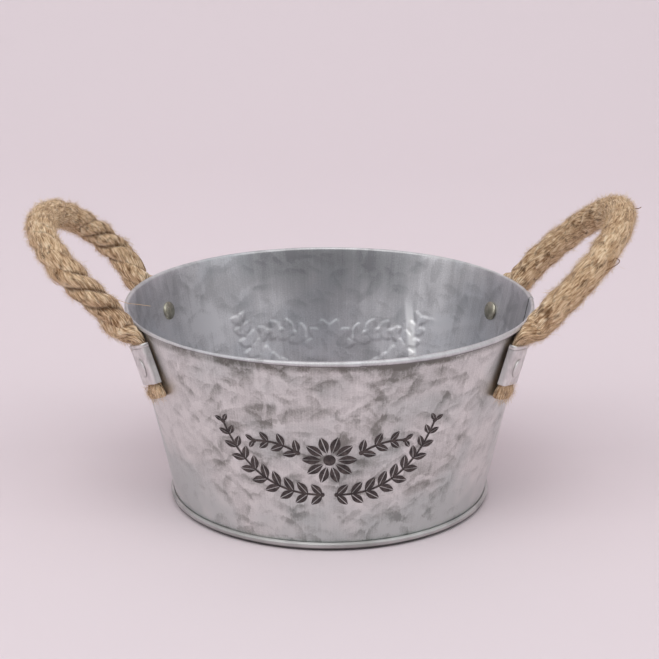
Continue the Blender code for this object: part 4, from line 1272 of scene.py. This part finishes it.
def buildRope(hand):
    handle = handles[hand]
    rng = np.random.default_rng(handle["seed"])
    points, wide, frontLeg, backLeg, leave = ropeLine(hand)
    travelled = alongLine(points)
    total = travelled[-1]
    mouth = rope["tail"] + clip["length"] - clip["lip"]
    fromBend = np.minimum(travelled - frontLeg, total - backLeg - travelled)  # below 0 on the legs
    legShare = smoothstep(mouth - frontLeg, 0, fromBend)
    gathered = smoothstep(mouth - frontLeg, -0.3 * (frontLeg - mouth), fromBend)
    radius = rope["diameter"] / 2
    halfWide = rope["flatWidth"] / 2 + (radius - rope["flatWidth"] / 2) * gathered
    flat = rope["flatThickness"] / 2
    halfThick = flat + (radius - flat) * legShare
    ahead = unit(np.gradient(points, axis=0))
    wide = unit(wide - ahead * np.sum(wide * ahead, 1, keepdims=True))
    through = np.cross(ahead, wide)  # towards the tub
    centre = points
    ended = np.minimum(travelled, total - travelled)
    sprung = 1 - smoothstep(0.45 * rope["tail"], rope["tail"], ended)
    rounded = 0.84 + 0.16 * np.sqrt(np.clip(ended / rope["tailRound"], 0, 1))
    halfWide = (halfWide + (rope["tailWidth"] - rope["flatWidth"]) / 2 * sprung) * rounded
    halfThick = (halfThick + (rope["tailThickness"] - rope["flatThickness"]) / 2 * sprung) * rounded
    fuller = smoothstep(mouth - frontLeg - 0.001, mouth - frontLeg + 0.004, fromBend)
    fuller = fuller * (1 - smoothstep(-0.009, -0.004, fromBend))
    fuller = 1 + rope["fuller"] * fuller

    clipEnd = rope["tail"] + clip["length"]
    bare = 1 - smoothstep(rope["tail"] - 0.0012, rope["tail"], ended)
    bare = bare + smoothstep(clipEnd, clipEnd + 0.002, ended)
    nearWall = 1 - smoothstep(0.006, 0.016, fromBend)
    reach = (frontLeg + backLeg - total) / -2  # half the loop
    deep = handle["grooves"] * (1 - smoothstep(0.35, 0.9, np.clip(fromBend, 0, None) / reach))
    around = np.linspace(0, 2 * math.pi, rope["ringPoints"], endpoint=False)
    wander = sum(rng.normal(0, 1) * np.sin(travelled * rate + rng.uniform(0, 6.3))
                 for rate in (90, 150, 260, 400))
    deep = deep * np.clip(0.8 + 0.3 * np.roll(wander, 90), 0.15, 1.2)
    strand = rope["looseStrand"] + (rope["strand"] - rope["looseStrand"]) * deep
    spread = radius - strand
    turnRate = -2 * math.pi / rope["lay"]
    yarnRate = -turnRate * rope["yarnLean"] * spread / strand
    yarnTwist = np.concatenate([[0], np.cumsum((yarnRate[1:] + yarnRate[:-1]) / 2 * np.diff(travelled))])
    verts, faces, uvs, crowns, runs, hairy = [], [], [], [], [], []
    for strandIndex in range(3):
        phase = 2 * math.pi * strandIndex / 3 - 2 * math.pi * travelled / rope["lay"] + 0.10 * wander
        thick = strand * (1 + 0.03 * np.sin(travelled * 170 + strandIndex * 2.1) + 0.02 * np.roll(wander, 40))
        face = phase[:, None] + math.pi + around[None, :]  # starts on the hidden side
        yarnPhase = face - yarnTwist[:, None]
        ridge = np.abs(np.cos(yarnPhase * rope["yarns"] / 2)) - 0.6
        ridge *= 1 + 0.5 * np.sin(yarnPhase * 2 + strandIndex) * np.sin(travelled * 60)[:, None]
        rough = sum(np.sin(yarnPhase * rng.integers(3, 14) + travelled[:, None] * rng.uniform(200, 1400)
                           + rng.uniform(0, 6.3)) for _ in range(14)) / 14
        reachOut = thick[:, None] + rope["yarnRelief"] * ridge + rope["lumps"] * rough
        x = spread[:, None] * np.cos(phase)[:, None] + reachOut * np.cos(face)
        y = spread[:, None] * np.sin(phase)[:, None] + reachOut * np.sin(face)
        level = np.hypot(x, y) / radius
        beside = centre[:, None] + wide[:, None] * (x * halfWide[:, None] / radius)[..., None]
        towards = y * halfThick[:, None] / radius * np.where(y > 0, fuller[:, None], 1)
        room = roomToTub(beside, through)
        soft = rope["pressSoftness"]
        towards = np.where(room < 0.015, -soft * np.logaddexp(-towards / soft, -room / soft), towards)
        ringPlaces = beside + through[:, None] * towards[..., None]
        clear = bare[:, None] * (1 - nearWall[:, None] * smoothstep(-0.35, 0.1, y / radius))
        slideX = (-spread[:, None] * np.sin(phase)[:, None] * turnRate
                  - reachOut * np.sin(face) * yarnRate[:, None])
        slideY = (spread[:, None] * np.cos(phase)[:, None] * turnRate
                  + reachOut * np.cos(face) * yarnRate[:, None])
        run = ahead[:, None] + wide[:, None] * slideX[..., None] + through[:, None] * slideY[..., None]
        start = sum(len(block) for block in verts)
        index = start + np.arange(x.size).reshape(x.shape)
        beside = np.roll(index, -1, axis=1)
        quads = np.stack([index[:-1], beside[:-1], beside[1:], index[1:]], -1).reshape(-1, 4)
        caps = []
        for ring, flip in ((index[0], True), (index[-1], False)):
            hub = start + x.size + len(caps) // rope["ringPoints"]
            pairs = zip(ring, np.roll(ring, -1))
            caps += [(b, a, hub) if flip else (a, b, hub) for a, b in pairs]
        hubs = np.stack([ringPlaces[0].mean(0), ringPlaces[-1].mean(0)])
        verts.append(np.concatenate([ringPlaces.reshape(-1, 3), hubs]))
        faces += quads.tolist() + caps
        ringUv = np.stack([strandIndex * 0.05 + yarnPhase * rope["strand"],
                           np.broadcast_to(travelled[:, None], x.shape)], -1).reshape(-1, 2)
        uvs.append(np.concatenate([ringUv, [[0, 0], [0, total]]]))
        crown = smoothstep(0.74, 0.98, level)
        crowns.append(np.concatenate([crown.ravel(), [0.4, 0.4]]))
        hairy.append(np.concatenate([(crown * clear).ravel(), [0, 0]]))
        runs.append(np.concatenate([unit(run).reshape(-1, 3), [leave, leave]]))
    piece = makePiece(hand + "Rope", np.concatenate(verts), faces, juteRope)
    giveUv(piece, "lay", np.concatenate(uvs))
    giveValue(piece, "crown", np.concatenate(crowns))
    giveValue(piece, "hairy", np.concatenate(hairy))
    giveDirection(piece, "run", np.concatenate(runs))
    return piece, centre, total, frontLeg


# fibres over the rope: most lie along the yarns, some stand off as fuzz, a few stray far
hairTree, given = startTree("ropeHair", {
    "Lying Density": "NodeSocketFloat", "Lying Length": "NodeSocketFloat",
    "Fly Density": "NodeSocketFloat", "Fly Length": "NodeSocketFloat",
    "Stray Density": "NodeSocketFloat", "Stray Length": "NodeSocketFloat",
    "Seed": "NodeSocketInt", "Finish": "NodeSocketMaterial"})
hairyField = add(hairTree, "GeometryNodeInputNamedAttribute", {"Name": "hairy"}, data_type="FLOAT")
runField = add(hairTree, "GeometryNodeInputNamedAttribute", {"Name": "run"}, data_type="FLOAT_VECTOR")
wisps = add(hairTree, "GeometryNodeJoinGeometry")
# rings along the fibre, lift off the surface, random lean, thickness for its length, bow, darkest shade
hairKinds = {
    "Lying": (2, 0.03, 0.65, 0.012, 0.05, 0.0),
    "Fly": (3, 0.55, 0.8, 0.010, 0.2, 0.5),
    "Stray": (6, 0.6, 1.0, 0.006, 0.3, 0.2),
}
for kindIndex, (kind, (rings, lift, lean, thickness, bow, darkest)) in enumerate(hairKinds.items()):
    spindle = add(hairTree, "GeometryNodeMeshUVSphere", {"Segments": 3, "Rings": rings, "Radius": 1.0})
    spindle = add(hairTree, "GeometryNodeTransform", {
        "Geometry": spindle, "Translation": (0.5, 0, 0), "Rotation": (0, math.pi / 2, 0),
        "Scale": (thickness, thickness, 0.5)})
    away = add(hairTree, "ShaderNodeSeparateXYZ", {0: add(hairTree, "GeometryNodeInputPosition")})
    squared = add(hairTree, "ShaderNodeMath", {0: away, 1: away}, operation="MULTIPLY")
    sag = add(hairTree, "ShaderNodeMath", {0: away, 1: squared}, operation="SUBTRACT")
    bent = add(hairTree, "ShaderNodeCombineXYZ", {
        1: add(hairTree, "ShaderNodeMath", {0: sag, 1: 1.2 * bow}, operation="MULTIPLY"),
        2: add(hairTree, "ShaderNodeMath", {0: squared, 1: bow}, operation="MULTIPLY")})
    fibre = add(hairTree, "GeometryNodeSetPosition", {"Geometry": spindle, "Offset": bent})
    seed = add(hairTree, "ShaderNodeMath", {0: given["Seed"], 1: 10.0 * kindIndex}, operation="ADD")
    density = add(hairTree, "ShaderNodeMath", {0: hairyField, 1: given[kind + " Density"]},
                  operation="MULTIPLY")
    spots = add(hairTree, "GeometryNodeDistributePointsOnFaces", {
        "Mesh": given["Geometry"], "Density": density, "Seed": seed}).node.outputs
    jitter = add(hairTree, "FunctionNodeRandomValue", {
        0: (-lean, -lean, -lean), 1: (lean, lean, lean), "Seed": seed}, data_type="FLOAT_VECTOR")
    flip = add(hairTree, "FunctionNodeRandomValue", {"Probability": 0.5, "Seed": seed}, output=3,
               data_type="BOOLEAN")
    sign = add(hairTree, "ShaderNodeMath", {0: flip, 1: 2.0, 2: -1.0}, operation="MULTIPLY_ADD")
    signedRun = add(hairTree, "ShaderNodeVectorMath", {0: runField, "Scale": sign}, operation="SCALE")
    raised = add(hairTree, "ShaderNodeVectorMath", {0: spots["Normal"], "Scale": lift}, operation="SCALE")
    heading = add(hairTree, "ShaderNodeVectorMath", {0: signedRun, 1: raised}, operation="ADD")
    heading = add(hairTree, "ShaderNodeVectorMath", {0: heading, 1: jitter}, operation="ADD")
    facing = add(hairTree, "FunctionNodeAlignRotationToVector", {"Vector": heading}, axis="X")
    facing = add(hairTree, "FunctionNodeAlignRotationToVector", {
        "Rotation": facing, "Vector": spots["Normal"]}, axis="Z", pivot_axis="X")
    longest = given[kind + " Length"]
    shortest = add(hairTree, "ShaderNodeMath", {0: longest, 1: 0.45}, operation="MULTIPLY")
    size = add(hairTree, "FunctionNodeRandomValue", {2: shortest, 3: longest, "Seed": seed},
               output=1, data_type="FLOAT")
    hairs = add(hairTree, "GeometryNodeInstanceOnPoints", {
        "Points": spots["Points"], "Instance": fibre, "Rotation": facing, "Scale": size})
    shade = add(hairTree, "FunctionNodeRandomValue", {2: darkest, 3: 1.0, "Seed": seed}, output=1,
                data_type="FLOAT")
    shaded = add(hairTree, "GeometryNodeStoreNamedAttribute", {
        "Geometry": hairs, "Name": "shade", "Value": shade}, data_type="FLOAT", domain="INSTANCE")
    hairTree.links.new(shaded, wisps.node.inputs[0])
loose = add(hairTree, "GeometryNodeRealizeInstances", {0: wisps})
finished = add(hairTree, "GeometryNodeSetMaterial", {"Geometry": loose, "Material": given["Finish"]})
add(hairTree, "NodeGroupOutput", {0: finished})

looseTree, given = startTree("looseFibres", {
    "Width": "NodeSocketFloat", "Shade": "NodeSocketFloat", "Finish": "NodeSocketMaterial"})
smooth = add(looseTree, "GeometryNodeCurveSplineType", {"Curve": given["Geometry"]},
             spline_type="CATMULL_ROM")
even = add(looseTree, "GeometryNodeResampleCurve", {"Curve": smooth, "Count": 18})
halfWidth = add(looseTree, "ShaderNodeMath", {0: given["Width"], 1: 0.5}, operation="MULTIPLY")
ringShape = add(looseTree, "GeometryNodeCurvePrimitiveCircle", {"Resolution": 4, "Radius": halfWidth})
thread = add(looseTree, "GeometryNodeCurveToMesh", {
    "Curve": even, "Profile Curve": ringShape, "Fill Caps": True})
shaded = add(looseTree, "GeometryNodeStoreNamedAttribute", {
    "Geometry": thread, "Name": "shade", "Value": given["Shade"]}, data_type="FLOAT", domain="POINT")
solid = add(looseTree, "GeometryNodeRealizeInstances", {0: shaded})
finished = add(looseTree, "GeometryNodeSetMaterial", {"Geometry": solid, "Material": given["Finish"]})
add(looseTree, "NodeGroupOutput", {0: finished})


def growHair(name, ropePiece, seed, lying, standing):
    holder = ropePiece.copy()
    holder.data = ropePiece.data.copy()
    scene.collection.objects.link(holder)
    return runTree(holder, hairTree, {
        "Lying Density": ropeHair["lyingDensity"] * lying, "Lying Length": ropeHair["lyingLength"],
        "Fly Density": ropeHair["flyDensity"] * standing, "Fly Length": ropeHair["flyLength"],
        "Stray Density": ropeHair["strayDensity"] * standing, "Stray Length": ropeHair["strayLength"],
        "Seed": seed, "Finish": juteFibre}, name)


def looseFibres(hand):
    lines = bpy.data.curves.new(hand + "Loose", "CURVE")
    lines.dimensions = "3D"
    for path in ropeHair["loose"][hand]:
        spline = lines.splines.new("POLY")
        spline.points.add(len(path) - 1)
        for point, place in zip(spline.points, path):
            point.co = (*(value / 1000 for value in place), 1)
    holder = putIn(hand + "Loose", lines)
    return runTree(holder, looseTree, {
        "Width": ropeHair["looseWidth"][hand], "Shade": ropeHair["looseShade"][hand], "Finish": juteFibre},
        hand + "RopeLoose")


for hand, handle in handles.items():
    piece, centre, length, frontLeg = buildRope(hand)
    hair = growHair(hand + "RopeHair", piece, handle["seed"], 1, 0)
    fuzz = growHair(hand + "RopeFuzz", piece, handle["seed"] + 1, 0, 1)
    loose = looseFibres(hand)
    for part in (piece, hair, fuzz, loose):
        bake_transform(part)
    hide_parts(hand + "_rope_loop", hand + "_front_rope_end", hand + "_back_rope_end")
    print(hand, "rope", round(float(length) * 1000, 1), "mm", len(piece.data.polygons), "faces, hair",
          len(hair.data.polygons), "fuzz", len(fuzz.data.polygons), "faces")
